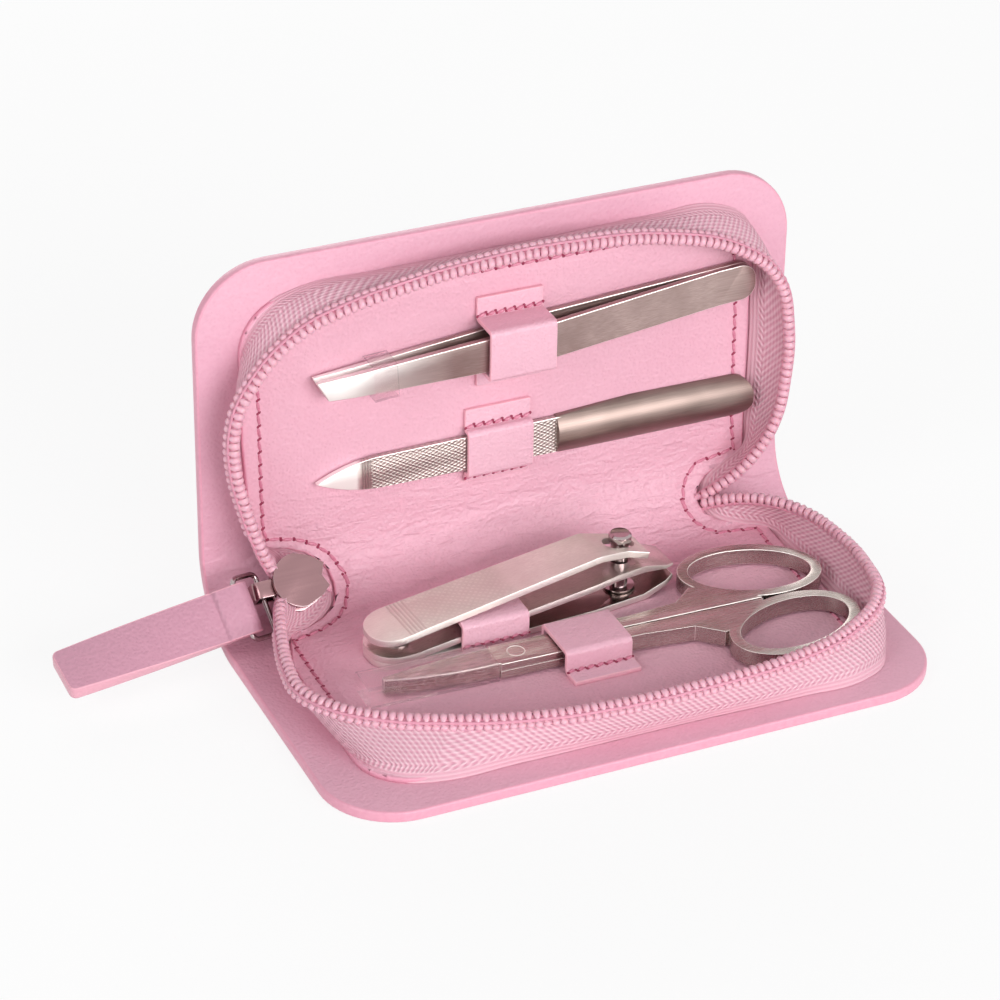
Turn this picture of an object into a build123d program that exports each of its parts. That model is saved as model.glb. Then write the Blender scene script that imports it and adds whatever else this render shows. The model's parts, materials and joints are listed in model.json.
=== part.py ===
from build123d import *
import math
import os

# A zip-round manicure set case, open like a book. Millimetres, +Z up. The lower half lies
# on the floor, the upper half (the lid) stands up, and the spine joins them at the back.
# The origin is the middle of the lower cover's underside, X runs along the spine.

# ---- case: driving sizes
case_length = 120.0
case_depth = 58.0            # front edge to fold line, of each half
closed_height = 24.0         # over both covers, zipped up
cover_thickness = 2.2
cover_corner = 14.0
edge_chamfer = 0.4
facing_thickness = 0.8       # leather facing on the inner side of each cover
board_thickness = 0.8
board_inset = 3.0
lining_thickness = 1.0
lining_gap = 0.15
lining_cut = 3.6             # its left corner at the fold is cut back
fold_gap = 0.2               # between a cover and the spine's rounded edge

# ---- zip tape walls and coils
wall_flange_side = 7.0       # cover seen outside the wall, left and right
wall_flange_front = 6.0
wall_corner = 8.0
wall_thickness = 0.9
coil_flare = 4.0             # the wall leans out this far at the sides
coil_front_lean = 1.4
coil_corner = 30.0
coil_radius = 0.9            # half the coil's width and height
tooth_pitch = 1.5
tooth_gap = 0.9              # between the tops of two teeth
tooth_height = 1.2
coil_clearance = 0.15        # from each coil to the plane where the halves meet
curl_radius = 13.0           # the zip turns in towards the spine
curl_start = 11.0            # from the fold line
curl_angle = 10.0
wall_fold = 15.0             # degrees that the woven wall turns at each fold of a corner

# ---- spine
notch_radius = 7.2           # round cut-outs in the lining at both ends of the spine
left_notch_reach = 35.8      # where each cut-out ends, from the middle of the case
right_notch_reach = 41.0
lining_flange = 10.5         # cover seen beyond the spine's lining
sheet_gap = 0.1
soft_gap = 0.3
spine_start_angle = 2.0      # the spine's lining starts this far round the bend
tongue_start_angle = 3.0     # and the end of the tapes under it
riser_thickness = 1.1        # both tapes together, where they go down under the lining
riser_height = 8.4
riser_gap = 2.0              # from the lining's cut-out
riser_run = 6.9
riser_bend = 2.2

# ---- zip slider, ring and pull tab
slider_offset = 9.2          # its middle, outwards from the end of the left cut-out
slider_depth = 3.5           # inner plate, from the middle of the spine's bend
slider_length = 10.4
slider_width = 10.4
slider_plate = 1.0
slider_throat = 2.2
slider_taper = 2.2           # at the right end the plates narrow to two points
slider_draw = 1.2            # and by this much each side before that
slider_toe = 2.2             # half the width over the points
slider_notch = 1.0           # between them
slider_corner = 1.1
bridge_wall = 0.9
bridge_width = 3.2
bridge_drop = 2.9            # below the outer plate
bridge_reach = 3.5           # past the plates' end
bridge_run = 1.8             # and over them, past their middle
bridge_bend = 1.6
nose_length = 4.0            # between the plates
nose_width = 2.4
nose_back = 1.1              # its left end, in from the plates' end
ring_wire = 1.1
ring_width = 12.0
ring_reach = 6.2
ring_corner = 1.3
ring_sides = 8
ring_rise = 28.0             # degrees, up from the slider's plane
ring_shift = 2.1             # it hangs to one side of the bridge
ring_play = 0.6              # in the bridge's eye
ring_hang = 0.4              # below the outer plate
tab_length = 36.0
tab_width = 9.8
tab_layer = 1.4
tab_fold = 0.35              # room round the ring's wire
tab_neck = 0.85              # its thickness next to the eye, as a share of the eye's
tab_drop = 2.0               # the free end, out of the slider's plane
tab_slip = 5.1               # and sideways, towards the lower half

# ---- loops
loop_thickness = 0.9
loop_gap = 0.3
loop_length = 13.4
loop_flap = 4.0
clipper_loop_x = -14.5
clipper_loop_rise = 2.8      # of the bowed upper plate, under the loop
scissors_loop_x = 0.5
scissors_play = 1.4
glued_edge = 0.5             # of a loop that has no flap on that side
tweezers_loop_x = 1.2
file_loop_x = -1.0

# ---- clipper
clipper_length = 62.7
clipper_width = 11.4
clipper_jaw_width = 8.6
clipper_plate = 1.3
clipper_rear = (-37.9, 12.3)  # along the spine, and from the fold line
clipper_angle = 3.6
jaw_taper = 17.9             # how far from the tip the plates start to narrow
jaw_corner = 2.0
jaw_nose = 1.0               # each corner of the tip is cut back by this much
jaw_rise = 1.9               # of the lower cutting edge over the lower plate
jaw_opening = 1.8
jaw_bend = 6.5               # the lower plate turns up this far from the tip
bow_start = 7.6              # the upper plate leaves the lower one just past the rivet
bow_rise = 4.8
post_from_tip = 9.9
post_radius = 1.7
post_height = 13.2
post_head = 2.2
post_head_height = 1.7
post_foot = 2.7
post_collar = 3.0
post_groove = 1.0            # the notch cut across its head
post_play = 0.4              # in the upper plate's hole
running_gap = 0.05
lever_sheet = 1.4
lever_rear_height = 5.8
lever_top_height = 12.2
lever_hump = 6.3             # behind the post
lever_front = 3.9            # past the post
lever_drop = 1.9
lever_taper = 1.0            # narrower at the hump than at the pad
lever_waist = 2.1            # cut in at both sides of the post
lever_slot = 6.4
lever_bend = 5.0
rivet_at = 6.0
rivet_radius = 1.4
rivet_head = 2.2

# ---- scissors
screw_at = (-13.7, 25.0)     # along the spine, and from the fold line
scissors_angle = -1.5
blade_length = 26.0
blade_plate = 1.5
joint_half_width = 3.3
joint_end = 8.2
screw_radius = 1.65
scissors_height = 3.6
handle_thickness = 3.2
finger_ring = (13.9, 9.2)
finger_band = 2.1
ring_centre = (52.1, 9.8)
ring_tilt = 14.8
shank_width = 3.4
shank_swell = 1.0            # wider where it joins the finger ring
blade_root = 4.2             # behind it the blade is as wide as the joint
blade_edge = 2.8             # cutting edge and back at the root
blade_back = 2.6
blade_belly = 0.6            # the blade's fullest place, as a share of its length
blade_nose = 0.5             # half the tip's width
split_gap = 0.2
sleeve_wall = 0.35
sleeve_gap = 0.15
sleeve_length = 25.0
sleeve_width = 8.2
sleeve_end = 3.8             # past the blades' tips
sleeve_corner = 1.0

# ---- tweezers
tweezers_tail = (51.5, 36.9)
tweezers_angle = 3.45
tweezers_length = 90.0
tweezers_width = 7.4
tweezers_tip_width = 4.2
tweezers_sheet = 1.2
tweezers_bow = 3.3
tweezers_weld = 8.0
tweezers_taper = 0.55        # from here to the tip it narrows, as a share of its length
tweezers_slant = 2.0         # the tip is cut at a slant
tweezers_tip_gap = 1.5
tweezers_lift = 0.5          # the clear band passes under the back arm
band_at = 75.0
band_length = 4.6
band_wall = 0.35
band_corner = 0.8

# ---- file
file_v = 10.9
file_tip_x = -38.0
file_blade_width = 7.6
file_blade_thickness = 1.1
file_handle_start = 11.0
file_handle_end = 52.5
file_handle_width = 9.6
file_handle_height = 2.8
file_tang = 11.0
file_tip = 14.0              # the pointed part
file_lift = 0.3              # of the blade over the lining

# ---- joints' rest pose
rest_open = 90.0             # between the halves

# ---- worked out
half_length = case_length / 2
fold_y = case_depth / 2
mid_cover = cover_thickness / 2
spine_chord = closed_height - cover_thickness
lid_fold_y = fold_y + spine_chord * math.cos(math.radians(rest_open / 2))
lid_fold_z = mid_cover + spine_chord * math.sin(math.radians(rest_open / 2))
lid_face_y = lid_fold_y + mid_cover
spine_radius = lid_fold_z
spine_centre = (fold_y, spine_radius)
lining_top = cover_thickness + lining_thickness
wall_x = half_length - wall_flange_side
wall_v = case_depth - wall_flange_front
coil_h = closed_height / 2 - coil_clearance - coil_radius
coil_x = wall_x + coil_flare
coil_v = wall_v + coil_front_lean
slider_x = -left_notch_reach - slider_offset
post_at = clipper_length - post_from_tip
floor_of_tools = lining_top + sheet_gap

nodes = {}


def base_half(shape):
    """Place a piece drawn as (x, distance from fold, height) in the lower half."""
    return Pos(0, fold_y, 0) * mirror(shape, about=Plane.XZ)


def lid_half(shape):
    """Place a piece drawn as (x, distance from fold, height) in the standing half."""
    return Pos(0, lid_face_y, lid_fold_z) * Rot(90, 0, 0) * shape


def plate(face, low, high):
    """A flat piece between two heights."""
    return Pos(0, 0, low) * extrude(face, amount=high - low)


def panel_face(inset):
    """Outline of a half: square at the fold, round at the two free corners."""
    width = case_length - 2 * inset
    start = mid_cover + fold_gap + inset
    end = case_depth - inset
    outline = Pos(0, (start + end) / 2) * Rectangle(width, end - start)
    free = outline.vertices().sort_by(Axis.Y)[-2:]
    return fillet(free, cover_corner - inset)


def cover_panel():
    whole = plate(panel_face(0), 0, cover_thickness - facing_thickness)
    rim = whole.faces().sort_by(Axis.Z)[0].edges()
    whole = chamfer(rim, edge_chamfer)
    pocket = cover_thickness - facing_thickness - board_thickness
    return whole - plate(panel_face(board_inset), pocket, cover_thickness)


def cover_board():
    top = cover_thickness - facing_thickness
    return plate(panel_face(board_inset + sheet_gap), top - board_thickness, top)


def cover_facing():
    low = cover_thickness - facing_thickness
    whole = plate(panel_face(0), low, cover_thickness)
    rim = whole.faces().sort_by(Axis.Z)[-1].edges()
    return chamfer(rim, edge_chamfer / 2)


def zip_runs(reach_x, reach_v, corner, curl, offset):
    """The U that the zip follows, with both ends turned in at the spine, in seven runs."""
    x = reach_x - offset
    v = reach_v - offset
    r = corner - offset
    c = curl - offset
    turn = math.radians(curl_angle)
    end = (x - c + c * math.cos(turn), curl_start - c * math.sin(turn))
    mid = (x - c + c * math.cos(turn / 2), curl_start - c * math.sin(turn / 2))
    bend = math.sqrt(0.5) * r
    corner_mid = (x - r + bend, v - r + bend)
    right_curl = ThreePointArc(end, mid, (x, curl_start))
    right = Line((x, curl_start), (x, v - r))
    right_corner = ThreePointArc((x, v - r), corner_mid, (x - r, v))
    front = Line((x - r, v), (r - x, v))
    left_corner = ThreePointArc((r - x, v), (-corner_mid[0], corner_mid[1]), (-x, v - r))
    left = Line((-x, v - r), (-x, curl_start))
    left_curl = ThreePointArc((-x, curl_start), (-mid[0], mid[1]), (-end[0], end[1]))
    return [right_curl, right, right_corner, front, left_corner, left, left_curl]


def zip_line(*sizes):
    return Curve() + zip_runs(*sizes)


def between_lines(outer, inner):
    """Closed face between two lines that run side by side."""
    caps = [Line(outer @ 0, inner @ 0), Line(outer @ 1, inner @ 1)]
    return make_face(outer.edges() + inner.edges() + [cap.edge() for cap in caps])


def wall_points(sizes, offset, height):
    """The same U for woven cloth, which turns a corner in short straight runs."""
    runs = zip_runs(*sizes, offset)
    points = [runs[0] @ 0]
    for run in runs:
        turned = run.length / run.radius if run.geom_type == GeomType.CIRCLE else 0
        steps = max(1, round(math.degrees(turned) / wall_fold))
        points += [run @ (i / steps) for i in range(1, steps + 1)]
    return [Vector(point.X, point.Y, height) for point in points]


def zip_wall():
    """Woven tape from the cover up to the coil: leans out at the sides, in at the corners."""
    foot = (wall_x, wall_v, wall_corner, curl_radius - coil_flare)
    head = (coil_x, coil_v, coil_corner, curl_radius)
    rims = []
    for sizes, height in ((foot, cover_thickness), (head, coil_h - coil_radius)):
        outer = wall_points(sizes, 0, height)
        inner = wall_points(sizes, wall_thickness, height)
        rims.append(outer + inner[::-1])
    low, high = rims
    panels = [make_face(Polyline(*rim, close=True)) for rim in rims]
    for i in range(len(low)):
        panels.append(make_face(Polyline(low[i - 1], low[i], high[i], high[i - 1], close=True)))
    return Solid(Shell(panels))


def zip_coil():
    """The row of pointed teeth on the cord that the tape's free edge carries."""
    middle = zip_line(coil_x, coil_v, coil_corner, curl_radius, wall_thickness / 2)
    count = int(middle.length / tooth_pitch)
    places = [middle @ (i / count) for i in range(count + 1)]
    headings = [middle % (i / count) for i in range(count + 1)]
    sides = [Vector(-ahead.Y, ahead.X) * coil_radius for ahead in headings]
    outer = Polyline(*[place + side for place, side in zip(places, sides)])
    inner = Polyline(*[place - side for place, side in zip(places, sides)])
    top = coil_h + coil_radius
    row = plate(between_lines(outer, inner), coil_h - coil_radius, top)
    half = tooth_gap / 2
    groove = make_face(Polyline((-half, 0), (half, 0), (0, -tooth_height), close=True))
    gap = extrude(Plane.XZ * groove, amount=2 * coil_radius, both=True)
    gaps = []
    for place, ahead in zip(places[1:-1], headings[1:-1]):
        heading = math.degrees(math.atan2(ahead.Y, ahead.X))
        gaps.append(Pos(place.X, place.Y, top) * Rot(0, 0, heading) * gap)
    return row - gaps


def lining():
    """Inside the wall's foot. Its left corner is cut back, to clear the ring when it is shut."""
    inset = wall_thickness + lining_gap
    corner = wall_corner + coil_flare
    outer = zip_line(wall_x, wall_v, corner, curl_radius - coil_flare, inset)
    start = mid_cover + fold_gap + lining_thickness / 2
    left = outer @ 1
    right = outer @ 0
    cut = left.X + lining_cut
    closing = Polyline(left, (cut, left.Y - lining_cut), (cut, start), (right.X, start), right)
    return plate(make_face(outer.edges() + closing.edges()), cover_thickness, lining_top)


def spine_frame(shape):
    """Place a piece drawn about the middle of the spine's bend, looking into the case."""
    return Pos(0, *spine_centre) * Rot(rest_open / 2, 0, 0) * shape


def bend_band(outer, inner, end_angle):
    """A quarter ring seen along the spine, its ends cut back by an angle."""
    ring = Circle(outer) - Circle(inner)
    reach = 2 * outer
    half = math.radians(rest_open / 2 - end_angle)
    corner = (reach * math.sin(half), -reach * math.cos(half))
    wedge = make_face(Polyline((0, 0), corner, (-corner[0], corner[1]), close=True))
    return Plane.YZ * (ring & wedge)


def notch(side, gap):
    """The cut-out at one end of the spine's lining: round inside, straight to the end."""
    reach = right_notch_reach if side > 0 else left_notch_reach
    radius = notch_radius - gap
    centre = side * (reach + notch_radius)
    column = Pos(centre, 0, -spine_radius) * Cylinder(radius, spine_radius)
    out = Pos(centre + side * half_length / 2, 0, -spine_radius)
    return column + out * Box(half_length, 2 * radius, spine_radius)


def spine_cover():
    """Outer leather of the spine, with round ends on the two fold lines."""
    band = bend_band(spine_radius, spine_radius - cover_thickness, 0)
    sheet = extrude(band, amount=half_length, both=True)
    for turn in (-1, 1):
        angle = math.radians(-90 + turn * rest_open / 2)
        reach = spine_radius - mid_cover
        fold = (reach * math.cos(angle), reach * math.sin(angle))
        nose = Plane.YZ * Pos(*fold) * Circle(mid_cover)
        sheet += extrude(nose, amount=half_length, both=True)
    return sheet


def spine_lining():
    outer = spine_radius - cover_thickness - sheet_gap
    band = bend_band(outer, outer - lining_thickness, spine_start_angle)
    sheet = extrude(band, amount=half_length - lining_flange, both=True)
    return sheet - notch(-1, 0) - notch(1, 0)


def zip_end(side):
    """Where both tapes come together and go under the lining: a tongue and its riser."""
    outer = spine_radius - cover_thickness - sheet_gap
    band = bend_band(outer, outer - lining_thickness, tongue_start_angle)
    reach = right_notch_reach if side > 0 else left_notch_reach
    end = half_length - lining_flange
    middle = side * (reach + end) / 2
    tongue = Pos(middle, 0, 0) * extrude(band, amount=(end - reach) / 2, both=True)
    tongue = tongue & notch(side, soft_gap)
    chain = slider_depth + slider_plate + slider_throat / 2
    turn = side * (reach + riser_gap)
    start = turn + side * riser_run
    foot = -(outer - lining_thickness / 2)
    route = FilletPolyline((start, -chain), (turn, -chain), (turn, foot), radius=riser_bend)
    ribbon = Plane.XZ * trace(route, line_width=riser_thickness)
    return tongue + extrude(ribbon, amount=riser_height / 2, both=True)


def slider():
    """Two shield plates on a nose, with the bridge that holds the ring."""
    half = slider_length / 2
    wide = slider_width / 2
    heel = ThreePointArc((0, -wide), (-half, 0), (0, wide))
    flank = half - slider_taper
    toe = Polyline((0, wide), (flank, wide - slider_draw), (half, slider_toe),
                   (half - slider_notch, 0), (half, -slider_toe), (flank, slider_draw - wide),
                   (0, -wide))
    shield = make_face([heel.edge()] + toe.edges())
    flanks = [corner for corner in shield.vertices() if abs(corner.X - flank) < 0.01]
    shield = fillet(flanks, slider_corner)
    inner = -slider_depth - slider_plate
    outer = inner - slider_throat - slider_plate
    body = plate(shield, inner, -slider_depth) + plate(shield, outer, outer + slider_plate)
    low = outer - bridge_drop
    high = inner - slider_throat / 2 + bridge_wall / 2
    left = -half - bridge_reach
    frame = Pos((left + bridge_run) / 2, (low + high) / 2)
    length, height = bridge_run - left, high - low
    strap = frame * RectangleRounded(length, height, bridge_bend)
    strap -= frame * RectangleRounded(length - 2 * bridge_wall, height - 2 * bridge_wall,
                                      bridge_bend - bridge_wall)
    bridge = extrude(Plane.XZ * strap, amount=bridge_width / 2, both=True)
    nose = Box(nose_length, nose_width, slider_throat)
    block = Pos(nose_back - half + nose_length / 2, 0, inner - slider_throat / 2) * nose
    throat = Pos(half / 2, 0, inner - slider_throat / 2)
    bridge -= throat * Box(half, 2 * bridge_width, slider_throat)
    return Pos(slider_x, 0, 0) * (body + bridge + block)


slider_outer = -slider_depth - 2 * slider_plate - slider_throat
ring_room = bridge_reach - bridge_wall - ring_wire / 2 - ring_play
ring_pivot = Vector(slider_x - slider_length / 2 - ring_room, 0, slider_outer - ring_hang)
rise = math.radians(ring_rise)
skewed = math.atan2(tab_slip, tab_length)
ring_out = Vector(-math.cos(rise) * math.cos(skewed), -math.sin(skewed),
                  math.sin(rise) * math.cos(skewed))
ring_side = (Vector(0, 1, 0) - ring_out * ring_out.Y).normalized()
ring_bar = ring_pivot + ring_out * ring_reach - ring_side * ring_shift


def pull_ring():
    """A rounded rectangle of wire, through the bridge and through the tab's fold."""
    middle = ring_bar - ring_out * (ring_reach / 2)
    plane = Plane(origin=middle, x_dir=ring_out, z_dir=ring_out.cross(ring_side))
    path = (plane * RectangleRounded(ring_reach, ring_width, ring_corner)).wire()
    section = Plane(origin=path @ 0, z_dir=path % 0) * RegularPolygon(ring_wire / 2, ring_sides)
    return sweep(section, path=path)


def pull_tab():
    """One strip of leather folded round the ring and glued back on itself."""
    along = Vector(-tab_length, -tab_slip, -tab_drop)
    along = (along - ring_side * along.dot(ring_side)).normalized()
    eye = ring_wire / 2 + tab_fold
    outside = eye + tab_layer
    strap = Pos(tab_length / 2, 0) * Rectangle(tab_length, 2 * tab_layer) + Circle(outside)
    neck = Pos(outside, 0) * Rectangle(2 * outside, 2 * tab_neck * outside)
    strap = strap + neck - Circle(eye)
    body = extrude(Plane.XZ * strap, amount=tab_width / 2, both=True)
    hang = Plane(origin=ring_bar, x_dir=along, z_dir=along.cross(ring_side))
    return hang.location * body


def loop(x, v, width, top, gap, flap_in, flap_out):
    """A leather loop over a tool, with a stitched flap each side of it."""
    inside = width + 2 * gap
    height = top + loop_gap - lining_top
    outer = Pos(v, lining_top + (height + loop_thickness) / 2)
    arch = outer * Rectangle(inside + 2 * loop_thickness, height + loop_thickness)
    arch = fillet(arch.vertices().sort_by(Axis.Y)[-2:], loop_thickness)
    arch -= Pos(v, lining_top + height / 2) * Rectangle(inside, height)
    edge = inside / 2 + loop_thickness
    for side, flap in ((-1, flap_in), (1, flap_out)):
        middle = v + side * (edge + flap / 2)
        arch += Pos(middle, lining_top + loop_thickness / 2) * Rectangle(flap, loop_thickness)
    return Pos(x, 0, 0) * extrude(Plane.YZ * arch, amount=loop_length / 2, both=True)


def clipper_outline():
    """Plan of the plates: round at the rear, drawn in to the jaw."""
    half = clipper_width / 2
    jaw = clipper_jaw_width / 2
    taper = clipper_length - jaw_taper
    tip = clipper_length
    nose = jaw - jaw_nose
    face = make_face(Polyline((0, half), (taper, half), (tip - jaw_corner, jaw), (tip, nose),
                              (tip, -nose), (tip - jaw_corner, -jaw), (taper, -half), (0, -half),
                              close=True))
    rear = face.vertices().sort_by(Axis.X)[:2]
    return fillet(rear, half * 0.9)


def side_shape(points, width, bend=0):
    """A side view drawn as (along, height), given width across. The bends are rounded."""
    face = make_face(Polyline(*points, close=True))
    if bend:
        face = fillet(face.vertices().sort_by(Axis.Y)[-1:], bend)
    return extrude(Plane.XZ * face, amount=width, both=True)


def pin(radius, low, high):
    """An upright pin at the rivet or the post, between two heights."""
    return Pos(0, 0, (low + high) / 2) * Cylinder(radius, high - low)


def clipper_lower_plate():
    t = clipper_plate
    end = clipper_length + 1
    bend = clipper_length - jaw_bend
    edge = t + jaw_rise
    side = side_shape([(-1, 0), (bend, 0), (end, edge - t / 2), (end, edge), (end - t, edge),
                       (bend - t / 3, t), (-1, t)], clipper_width)
    body = side & plate(clipper_outline(), -1, post_height)
    well = Pos(post_at, 0, 0) * pin(post_collar + running_gap, t / 2, post_height)
    hole = Pos(post_at, 0, 0) * pin(post_radius + running_gap, -1, post_height)
    seat = Pos(post_at, 0, 0) * pin(post_foot + running_gap, -1, t / 2 - 0.1)
    rivet = Pos(rivet_at, 0, 0) * pin(rivet_radius, -1, post_height)
    return body - hole - seat - rivet


def clipper_upper_plate():
    t = clipper_plate
    end = clipper_length + 1
    low = t + running_gap
    top = low + bow_rise
    tip = t + jaw_rise + jaw_opening
    crest = post_at - post_collar
    past = post_at + post_collar
    side = side_shape([(-1, low), (bow_start, low), (crest, top), (past, top), (end, tip),
                       (end, tip + t / 4), (past + 0.3, top + t), (crest, top + t),
                       (bow_start - 0.1, low + t), (-1, low + t)], clipper_width)
    body = side & plate(clipper_outline(), -1, post_height)
    hole = Pos(post_at, 0, 0) * pin(post_radius + post_play, -1, post_height)
    rivet = Pos(rivet_at, 0, 0) * pin(rivet_radius + 2 * running_gap, -1, post_height)
    return body - hole - rivet


def clipper_rivet():
    top = 2 * clipper_plate + 3 * running_gap
    return Pos(rivet_at, 0, 0) * (pin(rivet_radius, 0, top) + pin(rivet_head, top, top + 0.5))


def clipper_post():
    """A foot under the lower plate, a collar on it, and a head notched across over the lever."""
    t = clipper_plate
    top = post_height
    shank = pin(post_radius, running_gap, top - running_gap)
    foot = pin(post_foot, running_gap, t / 2 - 0.15)
    collar = pin(post_collar, t + running_gap, t + 0.6)
    head = pin(post_head, top - post_head_height, top)
    head = chamfer(head.faces().sort_by(Axis.Z)[-1].edges(), 0.4)
    groove = Box(2 * post_head, post_groove, post_groove)
    groove = Pos(0, -post_head, top - post_head_height) * groove
    return Pos(post_at, 0, 0) * (shank + foot + collar + head - groove)


def clipper_lever():
    """Bent sheet, stowed over the plates: round pad, hump, waist and the post's slot."""
    top = lever_top_height
    rear = lever_rear_height
    t = lever_sheet
    hump = post_at - lever_hump
    front = post_at + lever_front
    low = top - lever_drop
    side = side_shape([(-1, rear), (hump, top), (front, low), (front - 0.3, low - t),
                       (hump, top - t), (-1, rear - t)], clipper_width, lever_bend)
    half = clipper_width / 2
    narrow = half - lever_taper
    waist = half - lever_waist
    plan = make_face(Polyline((0, half), (hump, narrow), (post_at, waist), (front, narrow),
                              (front, -narrow), (post_at, -waist), (hump, -narrow), (0, -half),
                              close=True))
    plan = fillet(plan.vertices().sort_by(Axis.X)[:2], half * 0.9)
    opening = extrude(SlotOverall(lever_slot, 2 * post_radius + 0.7), amount=2 * post_height)
    slot = Pos(post_at - 0.4, 0, 0) * opening
    return (side & plate(plan, -1, post_height)) - slot


def tool_place(shape, start, angle):
    """Lay a tool on the lower lining, its own X turned by an angle from the spine's."""
    return Pos(start[0], fold_y - start[1], floor_of_tools) * Rot(0, 0, angle) * shape


def clipper_place(shape):
    return tool_place(shape, clipper_rear, clipper_angle)


def scissors_place(shape):
    return tool_place(shape, screw_at, scissors_angle)


def scissors_handle(side):
    """Shank and finger ring of one half, on its own side of the middle line."""
    ring = Pos(ring_centre[0], ring_centre[1]) * Rot(0, 0, -ring_tilt) * Ellipse(*finger_ring)
    inner = (finger_ring[0] - finger_band, finger_ring[1] - finger_band)
    hole = Pos(ring_centre[0], ring_centre[1]) * Rot(0, 0, -ring_tilt) * Ellipse(*inner)
    start = joint_end + 0.6
    neck = ring_centre[0] - finger_ring[0]
    shank = make_face(Polyline((start, split_gap), (neck + 12, split_gap), (neck + 8, 6.4),
                               (neck + 0.4, 8.2), (neck - 4, shank_width + shank_swell),
                               (neck - 14, shank_width), (start, joint_half_width), close=True))
    outline = shank + ring - hole
    solid = plate(outline, scissors_height - handle_thickness, scissors_height)
    if side < 0:
        solid = mirror(solid, about=Plane.XZ)
    return solid


def scissors_blade(side):
    """Flat blade from the joint to the tip, the cutting edge towards the middle."""
    tip = -blade_length
    root = -blade_root
    wide = joint_half_width
    belly = tip * blade_belly
    back = Polyline((joint_end, wide), (root, wide), (root, blade_back))
    upper = ThreePointArc((root, blade_back), (belly, blade_back - 0.6), (tip, blade_nose))
    nose = Line((tip, blade_nose), (tip, -blade_nose))
    lower = ThreePointArc((tip, -blade_nose), (belly, 0.3 - blade_edge), (root, -blade_edge))
    front = Polyline((root, -blade_edge), (root, -wide), (joint_end, -wide), (joint_end, wide))
    face = make_face(back.edges() + [upper.edge(), nose.edge(), lower.edge()] + front.edges())
    if side < 0:
        face = mirror(face, about=Plane.XZ)
    return face


def scissors_half(side):
    """side 1 is the upper blade with the far ring, side -1 the lower with the near ring."""
    gap = running_gap
    low = scissors_height - blade_plate if side > 0 else scissors_height - 2 * blade_plate - gap
    high = low + blade_plate
    blade = plate(scissors_blade(side), low, high)
    inner, outer = split_gap * side, joint_half_width * side
    bridge = make_face(Polyline((joint_end - 1, inner), (joint_end + 1, inner),
                                (joint_end + 1, outer), (joint_end - 1, outer), close=True))
    solid = scissors_handle(side) + blade + plate(bridge, low, high)
    bore = screw_radius + (0 if side > 0 else running_gap)
    return solid - pin(bore, 0, scissors_height + 1)


def scissors_screw():
    low = scissors_height - 2 * blade_plate - running_gap
    return Pos(0, 0, (low + scissors_height) / 2) * Cylinder(screw_radius, scissors_height - low)


def tip_sleeve():
    """Clear flattened tube over the closed blades."""
    height = 2 * (blade_plate + sleeve_gap + sleeve_wall) + running_gap
    outer = RectangleRounded(sleeve_width, height, sleeve_corner)
    inner = RectangleRounded(sleeve_width - 2 * sleeve_wall, height - 2 * sleeve_wall,
                             sleeve_corner - sleeve_wall)
    tube = extrude(Plane.YZ * (outer - inner), amount=sleeve_length)
    middle = scissors_height - blade_plate - running_gap / 2
    return Pos(-blade_length - sleeve_end, 0, middle) * tube


def tweezers_place(shape):
    where = Pos(*tweezers_tail, floor_of_tools + tweezers_lift)
    return lid_half(where * Rot(0, 0, 180 + tweezers_angle) * shape)


def tweezers_plan():
    half = tweezers_width / 2
    tip = tweezers_tip_width / 2
    end = tweezers_length
    taper = end * tweezers_taper
    face = make_face(Polyline((0, half), (taper, half), (end - tweezers_slant, tip), (end, -tip),
                              (taper, -half), (0, -half), close=True))
    return fillet(face.vertices().sort_by(Axis.X)[:2], half - 0.5)


def tweezers_back_arm():
    t = tweezers_sheet
    end = tweezers_length
    side = side_shape([(-1, 0), (end + 1, 0), (end + 1, t * 0.6), (end - 8, t), (-1, t)],
                      tweezers_width)
    return side & plate(tweezers_plan(), -1, 10)


def tweezers_front_arm():
    """Bowed away from the back arm, and back to it at the tip."""
    t = tweezers_sheet
    end = tweezers_length
    low = t + running_gap
    tip = t * 0.6 + tweezers_tip_gap
    top = low + tweezers_bow
    side = side_shape([(-1, low), (tweezers_weld, low), (end * 0.5, top), (end - 7, tip + 0.5),
                       (end + 1, tip), (end + 1, tip + t * 0.6), (end - 7, tip + 0.5 + t),
                       (end * 0.5, top + t), (tweezers_weld, low + t), (-1, low + t)],
                      tweezers_width)
    return side & plate(tweezers_plan(), -1, 10)


def tweezers_band():
    width = tweezers_width + 0.1
    height = tweezers_tip_gap + 3.1 * tweezers_sheet + 2 * band_wall
    outer = RectangleRounded(width, height, band_corner)
    inner = RectangleRounded(width - 2 * band_wall, height - 2 * band_wall,
                             band_corner - band_wall)
    tube = extrude(Plane.YZ * (outer - inner), amount=band_length)
    return Pos(band_at, 0, height / 2 - band_wall - 0.1) * tube


def file_blade():
    half = file_blade_width / 2
    shoulder = file_tip_x + file_tip
    bend = file_tip_x + 6
    side = [ThreePointArc((file_tip_x, 0), (bend, half * 0.62), (shoulder, half * 0.9)),
            Line((shoulder, half * 0.9), (file_handle_start, half)),
            Line((file_handle_start, half), (file_handle_start + file_tang, half * 0.6))]
    other = [mirror(edge, about=Plane.XZ) for edge in side]
    end = file_handle_start + file_tang
    close = Line((end, half * 0.6), (end, -half * 0.6))
    face = make_face([edge.edge() for edge in side + other + [close]])
    low = floor_of_tools + file_lift
    return lid_half(Pos(0, file_v, 0) * plate(face, low, low + file_blade_thickness))


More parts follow.
